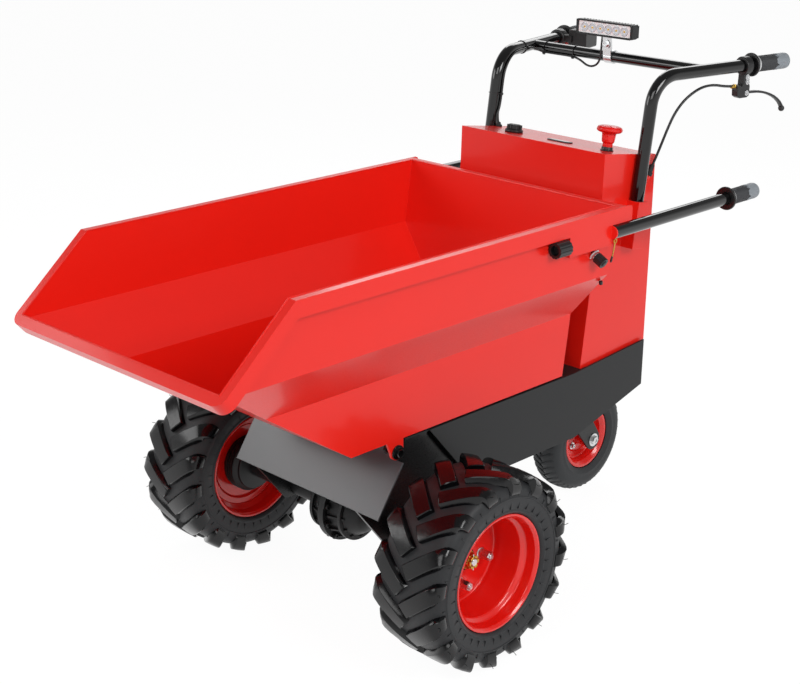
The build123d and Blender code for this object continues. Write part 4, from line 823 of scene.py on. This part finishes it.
# columns as for the lug
BLOCK_STATIONS = [(1, 6.5, 136.6, 0, 0), (2, 6.2, 137, 0, 0), (10, 1.2, 136.6, 6, 0),
                  (18, -4, 135, 16, 0), (26, -9, 131.4, 30, 0.2), (31.6, -12, 127, 46, 0.4)]
BLOCK_SECTION = [(-1, -0.6, 5), (-1, 0, 0.5), (-0.8, 0, 0), (0.8, 0, 0), (1, 0, 0.5),
                 (1, 0.6, 5)]
BLOCK_HALF, BLOCK_ANGLE, BLOCK_OUTSIDE, BLOCK_WRAP = 4.6, math.radians(32), 39, 134
TREAD_COUNT = 44
for name, side in HANDS:
    tread_block = (chevron, BLOCK_STATIONS, BLOCK_SECTION, BLOCK_HALF, BLOCK_ANGLE, BLOCK_OUTSIDE, BLOCK_WRAP, side)
    repeated(f"caster_tread_{name}", "tyre", TREAD_COUNT, "caster_rubber", tread_block, centre=CASTER,
             first=0 if side > 0 else 180 / TREAD_COUNT, each=360 / TREAD_COUNT, body="caster_wheel")

CASTER_RIM_SECTION = [
    (77, 32, 1.4), (77, 29.2, 0.8), (72.2, 28.8, 2), (66, 22, 4), (66, -22, 4),
    (72.2, -28.8, 2), (77, -29.2, 0.8), (77, -32, 1.4), (70.5, -32, 2), (62, -24, 5),
    (62, -3, 4), (44, -3, 3), (40, -7, 3), (24, -7, 3), (20, -12, 2),
    (20, -45.5, 1), (10.2, -45.5, 0.3), (10.2, 45.5, 0.3), (20, 45.5, 1), (20, 12, 2),
    (24, 7, 3), (40, 7, 3), (44, 3, 3), (62, 3, 4), (62, 24, 5), (70.5, 32, 2),
]
make("caster_rim_pressed", "rim_red", (turned, CASTER_RIM_SECTION, CASTER_FRAME, 80, 2), body="caster_wheel",
     replaced="caster_rim", sharp_deg=60)
for name, side in HANDS:
    repeated(f"caster_rim_bolts_{name}", "zinc", 4, "zinc_plated_steel", (bolt, sideways((0, 33, 0), side), 10, 6),
             centre=CASTER + Vector((side * 7, 0, 0)), first=45, each=90, sharp_deg=25, body="caster_wheel")

# %% Caster fork hardware
AXLE_HALF, AXLE_HEAD = 52.5, 53.1
make("caster_axle_bolt", "zinc",
     (turned, [(0, -AXLE_HALF), (9.8, -AXLE_HALF), (9.8, AXLE_HALF), (0, AXLE_HALF)], CASTER_FRAME, 24),
     *[(bolt, sideways(CASTER + Vector((side * AXLE_HEAD, 0, 0)), side), 19, 6.5, 2) for side in (1, -1)],
     body=NODE_BODY["caster_axle"], replaced="caster_axle", sharp_deg=25)
CASTER_TRAIL = 96
fork_top, plate_top = corners_of("caster_fork")[1].z, corners_of("caster_plate")[1].z
swivel = CASTER - Vector((0, CASTER_TRAIL, 0))
make("caster_swivel_bearing", "zinc",
     (turned, [(0, 0), (34, 0), (34, 5), (30.5, 6.5), (30.5, 9), (34, 10.5), (34, 13.5), (0, 13.5)],
      frame_at((swivel.x, swivel.y, fork_top + 0.2)), 48, 1.5), sharp_deg=30)
make("caster_plate_bolts", "zinc",
     *[(bolt, frame_at((swivel.x + x, swivel.y + y, plate_top - 8), (0, 0, -1)), 13, 7)
       for x in (-40, 40) for y in (-38, 38)], sharp_deg=25)
print("caster pieces done")

# %% [markdown]
# ## Handlebar controls
#
# The bars are bent from 28 mm steel tube and enamelled gloss black. Every
# control clamps round them, so the bar's own line gives each control its
# place: a distance along the bar and the side it is on.

# %% Places along the bars
BAR_CORNER = Vector((219.5, 442, 1052))
SPLAY, RISE = math.radians(11), math.radians(0.3)
BAR_END = 399
LEAN = math.radians(8.1)


def bar_way(side=1):
    return Vector((side * math.sin(SPLAY) * math.cos(RISE), math.cos(SPLAY) * math.cos(RISE), math.sin(RISE)))


def bar_at(along, side=1, down=0):
    return Vector((side * BAR_CORNER.x, BAR_CORNER.y, BAR_CORNER.z - down)) + bar_way(side) * along


def riser_at(z, side=1):
    return Vector((side * BAR_CORNER.x, BAR_CORNER.y - (BAR_CORNER.z - z) * math.tan(LEAN), z))


def outward(side=1):
    return Vector((side * math.cos(SPLAY), -math.sin(SPLAY), 0))


# %% [markdown]
# A grip is three mouldings: a hard flange that keeps the hand on, a dark
# rubber sleeve with fine rings, and a soft grey end that meets the sleeve in a
# zigzag. A plated ring covers the joint at the flange.


# %% Grips
TUBE = 14.2
ZIGZAG = [0, 3, 6, 3, 0, -2]


def zigzag_end(bm, frame, border, length, count=48):
    """A grip's soft end, whose border on the sleeve runs in a zigzag."""
    wave = [1.6 * ZIGZAG[i * 6 // count * 2 % 6 if i % 8 > 3 else i % 4] for i in range(count)]
    rings = []
    # radius, height, share of the zigzag
    for reach, height, share in ((16.6, border, 1), (18.3, border, 1), (18.4, border + 12, 0.3),
                                 (17.9, length * 0.8, 0), (18.3, length - 6, 0), (17.4, length, 0),
                                 (14.5, length + 3.2, 0), (8, length + 4, 0)):
        rings.append([bm.verts.new(frame @ Vector((x, y, height + share * up)))
                      for (x, y), up in zip(circle(reach, count), wave)])
    skin(bm, rings)
    bm.faces.new(rings[-1])
    bm.faces.new(rings[0][::-1])


def grip(node, frame, length):
    body, border = NODE_BODY[node], length * 0.62
    flange = [(TUBE, 0, 0.4), (26, 0, 2), (27, 5, 2.2), (20, 7, 2), (TUBE, 7, 0.4)]
    ring = [(TUBE, 7.1), (19.8, 7.1), (20.2, 12), (19, 17), (TUBE, 17)]
    sleeve, z = [(TUBE, 17.2), (17.4, 17.2)], 19
    while z < border + 3:
        sleeve += [(17.9, z), (17.9, z + 1.3), (17.45, z + 1.7), (17.45, z + 2.3)]
        z += 2.7
    sleeve += [(17, z), (TUBE, z)]
    make(node + "_flange", "black_plastic", (turned, flange, frame, 56, 1), body=body, replaced=node)
    make(node + "_ring", "zinc", (turned, ring, frame, 48, 0.8), body=body)
    make(node + "_sleeve", "grip_rubber", (turned, sleeve, frame), body=body, sharp_deg=50)
    make(node + "_end", "grip_rubber", (zigzag_end, frame, border, length), body=body, look="grip_soft_end",
         sharp_deg=45)


for (hand, side), length in zip(HANDS, (110, 84)):
    grip(f"bar_grip_{hand}", frame_at(bar_at(BAR_END - length, side), bar_way(side), outward(side)), length)
    tip_low, tip_high = corners_of(f"tip_grip_{hand}")
    tip_middle = middle_of(f"tip_grip_{hand}")
    grip(f"tip_grip_{hand}", frame_at((tip_middle.x, tip_low.y, tip_middle.z), (0, 1, 0), (side, 0, 0)),
         tip_high.y - tip_low.y - 4)
print("grips 4")

# %% [markdown]
# The brake perch is a black zinc casting: a split clamp, a neck and a block
# with the lever's pivot. The cable leaves it through a threaded adjuster.

# %% Brake perch and lever
PERCH = 271
across = frame_at(bar_at(PERCH), outward(), bar_way())
clamp = [(TUBE, -10, 0.5), (20.5, -10, 2), (21, 0, 2), (20.5, 10, 2), (TUBE, 10, 0.5)]
neck = rounded([(-8, -16), (9.5, -16), (10.5, -40), (13, -47), (12, -67), (5, -71), (-17, -71), (-25, -66), (-26, -52),
                (-20, -46), (-9, -43)], 3, 3)
make("brake_perch_casting", "black_plastic", (turned, clamp, frame_at(bar_at(PERCH), bar_way(), outward()), 48, 2),
     (prism, neck, -9, 9, across),
     (turned, [(0, -10), (6.5, -10), (6.5, 10), (0, 10)], across @ Matrix.Translation((-21, -47, 0)), 24, 1.5),
     replaced="brake_perch", bevel_mm=1.2)
perch_bolts = []
for x, y in ((3, -25), (4, -36), (4, -61)):
    front, back = (across @ Matrix.Translation((x, y, z)) for z in (8.6, -8.6))
    perch_bolts += [(bolt, front, 7, 3.4, 0.8), (bolt, back @ Matrix.Rotation(math.pi, 4, "X"), 7, 2.6, 0.8)]
make("brake_perch_bolts", "zinc", *perch_bolts, sharp_deg=25)
ADJUSTER_BACK, ADJUSTER_DOWN = 24.5, 44
barrel = frame_at(bar_at(PERCH - ADJUSTER_BACK, 1, ADJUSTER_DOWN), -bar_way(), outward())
thread = [(0, 3), (3.9, 3), (3.9, 4.2), (3.5, 4.6), (3.5, 5.4), (3.9, 5.8), (3.9, 6.8), (3.5, 7.2), (3.5, 8),
          (4.4, 8.4), (4.4, 12.6), (3.6, 13.2), (0, 13.2)]
make("brake_cable_adjuster", "zinc", (hexagon, barrel, 9, 3.5), (turned, thread, barrel, 24),
     look="yellow_passivate", sharp_deg=25)
# from the pivot: distance along the bar, distance down
LEVER_LINE = [(0, 0), (14, 0.4), (30, 1.2), (46, 3.4), (60, 6.6), (74, 11.2), (88, 17.2), (100, 24.4), (110, 32.6),
              (117, 41), (121, 49)]
PIVOT_AHEAD, PIVOT_DOWN = 11.2, 61
lever_path = [bar_at(PERCH + PIVOT_AHEAD + along, 1, PIVOT_DOWN + down) for along, down in LEVER_LINE]
ball = [(7.2 * math.sin(math.pi * i / 10), -7.2 * math.cos(math.pi * i / 10)) for i in range(11)]
make("brake_lever_blade", "black_plastic",
     (swept, lever_path, rounded([(-6, -2.6), (6, -2.6), (6, 2.6), (-6, 2.6)], 2, 3)),
     (turned, ball, frame_at(lever_path[-1], outward()), 20), replaced="brake_lever", sharp_deg=50)

# %% [markdown]
# The thumb throttle shares its clamp with a small display box, turned towards
# the operator.

# %% Throttle and display
THROTTLE = 289
hold = frame_at(bar_at(THROTTLE, -1), bar_way(-1), -outward(-1))
clamp = [(TUBE, -13, 0.5), (20, -13, 2.5), (21, -4, 2), (21, 4, 2), (20, 13, 2.5), (TUBE, 13, 0.5)]
make("throttle_body", "black_plastic", (turned, clamp, hold, 48, 2),
     (block, (17, 40), (-9, 9), (-12, 12), hold, 2, 2),
     (block, (29.5, 78.5), (-22, 22), (-6.5, 52.5), hold, 5, 4), replaced="throttle", bevel_mm=1.4)
paddle = rounded([(15.5, 8), (27, 10), (28, 30), (24, 46), (18, 46), (15, 28)], 4, 4)
make("throttle_paddle", "red_plastic", (prism, paddle, 5.2, 12.4, hold), bevel_mm=1.5)
make("throttle_screen", "display", (block, (34, 74), (-17, 17), (52.3, 53.2), hold, 3))
make("throttle_keys", "rubber",
     *[(turned, [(0, 0), (3.2, 0), (3.2, 1.4), (0, 1.6)], hold @ Matrix.Translation((x, 19.5, 52.4)), 16, 0.5, 2)
       for x in (44, 54, 64)])

# %% [markdown]
# The brake cable and the lamp's wire are laid along their clipped routes as
# smooth curves, and cable ties hold the wire to the tubes.

# %% Cable and wire
CABLE_ROUTE = [
    (266.3, 683, 1009.3), (263, 650, 1012), (259, 612, 1020), (254, 578, 1020),
    (248, 548, 1010), (241, 521, 992), (234, 501, 966), (228, 488, 934),
    (221, 478, 899), (214.6, 464.8, 862.2), (210.1, 454.1, 839.3),
]
WIRE_ROUTE = [
    (-32, 581.8, 1099.7), (-32, 579.8, 1074.8), (-33, 579.8, 1050.8), (-39, 579.8, 1033.8),
    (-54, 579.8, 1024.8), (-74, 582.3, 1024.8), (-94, 585.3, 1034), (-116, 586.3, 1040),
    (-162, 586.3, 1040), (-200, 586.3, 1040), (-209.6, 583.3, 1041), (-226.3, 565, 1052.2),
    (-221.7, 541.4, 1052.1), (-212.2, 492.3, 1051.8), (-207.9, 469.1, 1042.9), (-204.7, 450.3, 1026.3),
    (-203, 438.4, 1004.1), (-203, 433.5, 969.5), (-203, 428.4, 933.5), (-201, 416, 911.7),
    (-195, 417, 887.2),
]


def cord_piece(name, route, radius, node):
    """A round cord as a smooth curve between its route's points."""
    curve = bpy.data.curves.new(name, "CURVE")
    curve.dimensions = "3D"
    spline = curve.splines.new("NURBS")
    spline.points.add(len(route) - 1)
    for point, place in zip(spline.points, route):
        point.co = (*(Vector(place) * MM), 1)
    spline.order_u = 3
    spline.use_endpoint_u = True
    spline.resolution_u = 10
    curve.bevel_depth = radius * MM
    curve.bevel_resolution = 4
    curve.use_fill_caps = True
    cord = baked(placed(name, curve))
    for face in cord.data.polygons:
        face.use_smooth = True
    paint(cord, "cable_black")
    return ship(cord, "chassis", node)


cord_piece("brake_cable_laid", CABLE_ROUTE, 3, "brake_cable")
cord_piece("lamp_wire_laid", WIRE_ROUTE, 2.5, "lamp_wire")


def tie(bm, place, way, toward, tube):
    """A cable tie round a tube and the wire beside it, with its lock."""
    frame = frame_at(place, way, toward)
    bend = [(tube * math.cos(a), tube * math.sin(a)) for a in (math.radians(20 + 320 * i / 24) for i in range(25))]
    loop = [(tube + 5.6, 2), *bend, (tube + 5.6, -2), (tube + 5.6, 2)]
    path = [tuple((frame @ Vector((x, y, 0))) / MM) for x, y in loop]
    swept(bm, path, [(-1.8, -0.5), (1.8, -0.5), (1.8, 0.6), (-1.8, 0.6)], way)
    block(bm, (tube + 4.4, tube + 8.4), (-3, 3), (-2.6, 2.6), frame, 0.8, 2)


CROSS = bar_at(158, 1, 2)
TIE_PLACES = [
    (Vector((-118, CROSS.y, CROSS.z)), (1, 0, 0), (0, -1, -1), 12.6),
    (Vector((-205, CROSS.y, CROSS.z)), (1, 0, 0), (0, -1, -1), 12.6),
    (bar_at(100, -1), bar_way(-1), -outward(-1), 14.1),
    (riser_at(960, -1), (0, math.sin(LEAN), math.cos(LEAN)), (1, 0, 0), 14.1),
]
make("cable_ties", "black_plastic", *[(tie, *given) for given in TIE_PLACES])
cable_end, cable_way = Vector(CABLE_ROUTE[-1]), (Vector(CABLE_ROUTE[-2]) - Vector(CABLE_ROUTE[-1])).normalized()
gland = [(3.1, -6), (9, -6), (9, 2), (6.5, 4), (5.5, 16), (4.2, 20), (3.1, 20)]
make("brake_cable_gland", "rubber", (turned, gland, frame_at(cable_end, cable_way), 32, 0.8, 2))
grommet = [(2.6, -3), (7.5, -3), (7.5, 1.5), (5, 4), (3.6, 9), (2.6, 9)]
make("lamp_wire_grommet", "rubber", (turned, grommet, frame_at(WIRE_ROUTE[-1]), 28, 0.8, 2))
print("cords 2, ties", len(TIE_PLACES))

# %% [markdown]
# ## Work lamp
#
# The lamp is a stock six-LED bar: a finned die-cast body, a clear cover over
# six bright cups and a steel clip on the crossbar.

# %% Lamp
LAMP_LOW, LAMP = corners_of("lamp_housing")[0], middle_of("lamp_housing")
FORWARD = frame_at((0, 0, 0), (0, -1, 0))
LED_COUNT, LED_PITCH = 6, 22.6
CAP_AT = 77.9
softened("lamp_housing", 1, 0.4)
softened("lamp_bracket", 1.2, 0.5)
make("lamp_cover", "lens", (block, (-73.6, 73.6), (-13.1, 13.1), (-3, 0),
                            frame_at((LAMP.x, LAMP_LOW.y + 2.2, LAMP.z), (0, -1, 0)), 2.4), replaced="lamp_lens")
cup = [(10.6, -0.2), (10.6, 0.9), (9.9, 1.1), (9.3, 0.9), (8.8, 0.5), (4, 0.3), (4, -0.2)]
led = (block, (-1.9, 1.9), (-1.9, 1.9), (0, 0.9), FORWARD, 0.5, 2)
for name, look, shape in (("cups", "reflector", (turned, cup, FORWARD, 32)), ("leds", "yellow_passivate", led)):
    repeated(f"lamp_{name}", "zinc", LED_COUNT, look, shape, step=(LED_PITCH, 0, 0),
             centre=(LAMP.x - (LED_COUNT - 1) / 2 * LED_PITCH, LAMP_LOW.y + 2.1, LAMP.z))
cap = rounded([(-12.6, -16), (3, -16), (5, -11), (9, -14), (12.6, -14), (12.6, 14), (9, 14), (5, 11), (3, 16),
               (-12.6, 16)], 1.2, 2)
make("lamp_end_caps", "lamp_black",
     *[(prism, cap, -0.4, 2.4, sideways((LAMP.x + side * CAP_AT, LAMP.y, LAMP.z), side)) for side in (1, -1)],
     bevel_mm=0.6)
clip_low, clip_high = corners_of("lamp_bracket")
clip_x = (clip_low.x + clip_high.x) / 2
# The two cross bolts leave out x_axis, so they collapse to lines and only the front bolt shows.
make("lamp_clip_bolts", "zinc",
     *[(bolt, frame_at((clip_x + side * 11, CROSS.y - 14, CROSS.z + 24), (side, 0, 0)), 10, 5, 1.2)
       for side in (1, -1)],
     (bolt, frame_at((clip_x, clip_low.y, CROSS.z + 30), (0, -1, 0)), 12, 6, 1.2), sharp_deg=25)
print("lamp done, LEDs", LED_COUNT)

# %% [markdown]
# ## Controls on the cabinet
#
# An emergency stop with its red mushroom head, a ribbed key cap and an oval
# battery gauge stand on the sloping top. The head is polished plastic, so its
# edges are generous; the key cap is a black moulding with finger ribs.

# %% Stop knob, key cap and gauge
TOP_DROP, TOP_RUN = 27, 184
TOP_FRONT, TOP_FRONT_HEIGHT = 299, 903
CONTROL_LINE = 364
TOP_TILT = math.atan2(TOP_DROP, TOP_RUN)
TOP_UP = (0, math.sin(TOP_TILT), math.cos(TOP_TILT))


def on_top(node):
    """Frame on the cabinet's sloping top, under the middle of a control."""
    low, high = corners_of(node)
    height = TOP_FRONT_HEIGHT - (CONTROL_LINE - TOP_FRONT) * TOP_DROP / TOP_RUN
    return frame_at(Vector(((low.x + high.x) / 2, CONTROL_LINE, height)), TOP_UP)


stop_at, key_at, gauge_at = on_top("stop_knob"), on_top("key_cap"), on_top("gauge")
stop = [(0, 0), (11, 0), (11, 17), (13.5, 19), (14.5, 25), (15.5, 38), (24, 40.5), (28, 43.5), (28.3, 48),
        (25.5, 52.5), (18, 54.8), (0, 55.2)]
make("stop_knob_head", "red_plastic", (turned, stop, stop_at, 56, 2.5, 4), replaced="stop_knob", sharp_deg=60)
collar = [(11.1, 0), (14.5, 0), (14.5, 2.5), (12.4, 3.5), (12.4, 9), (11.1, 9)]
make("stop_knob_collar", "black_plastic", (turned, collar, stop_at, 40, 0.6, 2))
key = [(0, 0), (20.5, 0), (21, 5), (18, 8), (15.5, 9), (15.5, 17), (13, 18.2), (0, 18.2)]
make("key_cap_body", "black_plastic", (turned, key, key_at, 56, 1.5),
     (block, (-13, 13), (-3.4, 3.4), (17.5, 18.6), key_at, 2.5), replaced="key_cap", sharp_deg=40)
rib = rounded([(15, -1.3), (17.4, -1), (17.4, 1), (15, 1.3)], 0.4, 2)
repeated("key_cap_ribs", "black_plastic", 18, "black_abs", (prism, rib, 8.5, 17, frame_at((0, 0, 0), TOP_UP)),
         centre=tuple(key_at.translation / MM), axis=TOP_UP, each=20)
oval = [(21 * side + 12 * math.cos(a), 12 * math.sin(a)) for side, start in ((1, -90), (-1, 90))
        for a in (math.radians(start + 15 * i) for i in range(13))]
make("gauge_bezel", "black_plastic", (prism, oval, 0, 2.4, gauge_at), replaced="gauge", bevel_mm=0.7)
make("gauge_window", "display", (prism, [(x * 0.82, y * 0.66) for x, y in oval], 2.2, 2.7, gauge_at), bevel_mm=0.2)

# %% [markdown]
# ## Edge of the hopper
#
# A sheet's cut edge can be turned back on itself, which stiffens it and leaves
# no sharp edge to the hand. Here it is drawn as a fine raised line round the
# whole opening, which catches the light and draws the shape of the scoop.

# %% Turned-back edge
RIM_HALF, RIM_TOP, RIM_REAR = 291.5, 820, 226
LINE_RADIUS = 1.5
MOUTH_UPPER, MOUTH_LOWER = (-675, 820), (-828.4, 686)
left_edge = [(RIM_HALF, RIM_REAR, RIM_TOP), (RIM_HALF, *MOUTH_UPPER), (RIM_HALF, *MOUTH_LOWER)]
edge_path = [Vector(p) for p in left_edge + [(-x, y, z) for x, y, z in left_edge[::-1]] + left_edge[:1]]
make("hopper_turned_edge", "red_paint",
     *[(swept, [start, (start + end) / 2, end], circle(LINE_RADIUS, 8),
        (0, 0, 1) if abs(end.x - start.x) > 1 else (1, 0, 0)) for start, end in zip(edge_path, edge_path[1:])],
     body="hopper")

# %% [markdown]
# ## Hopper latch
#
# A ribbed knob slides under the hem, a spring plunger locks it, and a pull
# wire with a small eye hangs from the handle's block.

# %% Latch pieces
for node in ("latch_knob", "latch_plunger"):
    softened(node, 1, 0.6, sharp_deg=35)
PIN = Vector((294.5, 156, 732))
PIN_DROP = math.radians(28)
PIN_WAY = Vector((math.cos(PIN_DROP), 0, -math.sin(PIN_DROP)))
make("latch_plunger_nut", "zinc", (hexagon, frame_at(PIN + PIN_WAY * 4.6, PIN_WAY, (0, 1, 0)), 18.4, 7.6),
     (turned, [(0, 0), (12.5, 0), (12.5, 1.6), (0, 1.6)], frame_at(PIN + PIN_WAY * 3, PIN_WAY), 28), body="hopper",
     sharp_deg=25)
make("latch_plunger_end", "black_plastic",
     (turned, [(0, 33.4), (7, 33.4), (7, 34.6), (4.5, 36), (0, 36)], frame_at(PIN, PIN_WAY), 24, 0.5, 2),
     body="hopper")
EYE = Vector((314.5, 203, 754))
eye = [EYE + Vector((0, 4.2 * math.cos(a), 4.2 * math.sin(a))) for a in (math.radians(90 + 36 * i) for i in range(11))]
wire = [EYE + Vector(drop) for drop in ((0, -1, -4), (0, -2.5, -14), (-0.5, -5, -26), (-1, -6.5, -34))]
make("latch_pull_wire", "zinc", (swept, eye, circle(1.2, 8), (1, 0, 0)), (swept, wire, circle(1.3, 8), (1, 0, 0)),
     body="hopper", look="yellow_passivate")
make("latch_pull_tip", "black_plastic",
     (turned, [(0, 0), (2.2, 0), (2.4, 10), (1.6, 13), (0, 13)],
      frame_at(EYE + Vector((-0.9, -6.2, -32)), (-0.05, -0.25, -1)), 14, 0.6, 2),
     (turned, [(0, -2), (4, -2), (4, 6), (0, 6)], frame_at((288, 197, 661), (0, 0.2, -1)), 20, 1, 2),
     body="hopper")

# %% [markdown]
# ## Cabinet and chassis hardware
#
# The rear door hangs on two hinges and closes with a quarter-turn lock, over
# louvres that air the batteries. Button-head screws stand in its corners.

# %% Rear door
DOOR_LOW, DOOR_HIGH = corners_of("cabinet_door")
LOUVRES_UP, HINGE_IN, LOCK_IN = 60, 60, 28
louvre = rounded([(0, 0), (4.2, 0), (0, 12)], 1, 3)
repeated("door_louvres", "red_paint", 7, "red_powder_coat", (prism, louvre, -62, 62, AXLE_WAY),
         centre=(0, DOOR_HIGH.y - 0.3, DOOR_LOW.z + LOUVRES_UP), step=(0, 0, 20))


def hinge(bm, z):
    place = (DOOR_LOW.x + 4, DOOR_HIGH.y, z)
    for low in (-30, -10, 10):
        turned(bm, [(0, low), (4.6, low), (4.6, low + 19.4), (0, low + 19.4)],
               frame_at(place) @ Matrix.Translation((0, 4, 0)), 20, 0.6, 2)
    block(bm, (-18, 18), (-30, 30), (0, 2), frame_at(place, (0, 1, 0)), 2)


make("door_hinges", "frame_black", (hinge, DOOR_LOW.z + HINGE_IN), (hinge, DOOR_HIGH.z - HINGE_IN), bevel_mm=0.4)
lock_frame = frame_at((DOOR_HIGH.x - LOCK_IN, DOOR_HIGH.y, (DOOR_LOW.z + DOOR_HIGH.z) / 2), (0, 1, 0))
make("door_lock", "zinc", (turned, [(0, 0), (14, 0), (14, 3), (11, 5), (0, 5)], lock_frame, 36, 1),
     (block, (-9, 9), (-2.2, 2.2), (4.6, 8), lock_frame, 1.5), bevel_mm=0.4)

# %% Screws, bolts and pins
SCREW_IN, SCREW_UP = 90, 12
BUTTON = [(0, 0), (5.5, 0), (5.2, 1.8), (3, 3.2), (2, 3.3), (2, 1.6), (0, 1.6)]
# The side screws and the frame bolts leave out x_axis, so they collapse to lines. Only the door's screws show.
side_frames = [frame_at((side * 205, y, z), (side, 0, 0)) for z in (470, 640) for side in (1, -1)
               for y in (290, 460)]
door_frames = [frame_at((x, DOOR_HIGH.y, z), (0, 1, 0)) for x in (DOOR_LOW.x + SCREW_IN, DOOR_HIGH.x - SCREW_IN)
               for z in (DOOR_LOW.z + SCREW_UP, DOOR_HIGH.z - SCREW_UP)]
make("panel_screws", "frame_black", *[(turned, BUTTON, frame, 18, 0.4, 2) for frame in side_frames + door_frames],
     sharp_deg=30)

PIN_HEAD = 10.2
for hand, side in HANDS:
    pin_low, pin_high = corners_of(f"tip_pin_{hand}")
    head_at = max(abs(pin_low.x), abs(pin_high.x))
    mid = (pin_low + pin_high) / 2
    outer = sideways((side * (head_at - PIN_HEAD), mid.y, mid.z), side)
    make(f"tip_pin_{hand}_bolt", "frame_black", (turned, [(0, 0), (15, 0), (15, 3), (0, 3)], outer, 40, 0.8),
         (turned, [(0, 3), (11.5, 3), (11.5, 4.4), (0, 4.4)], outer, 32, 0.4, 2),
         (hexagon, raised(outer, 4.4), 15.6, 5.6, 4.8), (turned, [(0, 0.2), (8, 0.2), (8, -29), (0, -29)], outer, 24),
         (hexagon, raised(outer, -28.8), 20, 7), replaced=f"tip_pin_{hand}", look="black_gloss_enamel",
         sharp_deg=28)

FRAME_BOLTS = [(200, -260, 404), (200, -260, 318), (154, -240, 240), (154, -290, 240)]
make("frame_bolts", "zinc", *[(bolt, frame_at((side * x, y, z), (side, 0, 0)), 13, 7)
                              for side in (1, -1) for x, y, z in FRAME_BOLTS], sharp_deg=25)

# %% [markdown]
# ## Drive unit
#
# A cast gear case with the electric motor behind it hangs from the axle
# plates. Castings have thick round-edged flanges and rows of bolts.

# %% Gear case and motor
for node, fold, edge in (("transaxle", 2, 1), ("drive_motor", 1.2, 0.7), ("rest_pads", 1, 0.8),
                         ("tip_handle_left", 0.8, 0.5), ("tip_handle_right", 0.8, 0.5)):
    softened(node, fold, edge, sharp_deg=28)
AXLE = Vector((0, WHEEL.y, WHEEL.z))
repeated("gear_case_bolts", "zinc", 10, "black_painted_casting",
         *[(bolt, sideways((side * 8, 66.5, 0), side), 10, 6) for side in (1, -1)],
         centre=AXLE, first=18, each=36, sharp_deg=25)
rib_frame = frame_at((9, 0, 0), (0, 1, 0))
CASE_RIBS = ([(0, 44), (32, 44), (44, 54), (6, 66), (0, 66)], [(-50, 44), (-18, 44), (-18, 66), (-24, 66), (-62, 54)])
repeated("gear_case_ribs", "cast_black", 12, "black_painted_casting",
         *[(prism, rounded(outline, 2, 2), -2.2, 2.2, rib_frame) for outline in CASE_RIBS], centre=AXLE, each=30)
motor_low, motor_mid = corners_of("drive_motor")[0], middle_of("drive_motor")
repeated("motor_bolts", "zinc", 4, "zinc_plated_steel", (bolt, sideways((0, 43, 0), -1), 8, 5),
         centre=(motor_low.x + 11, motor_mid.y, motor_mid.z), first=45, each=90, sharp_deg=25)
make("motor_gland", "rubber", (turned, [(0, 0), (9, 0), (9, 10), (6, 14), (0, 14)],
                               frame_at((motor_mid.x + 40, motor_mid.y, motor_mid.z + 50)), 28, 1.5))
print("drive unit done")
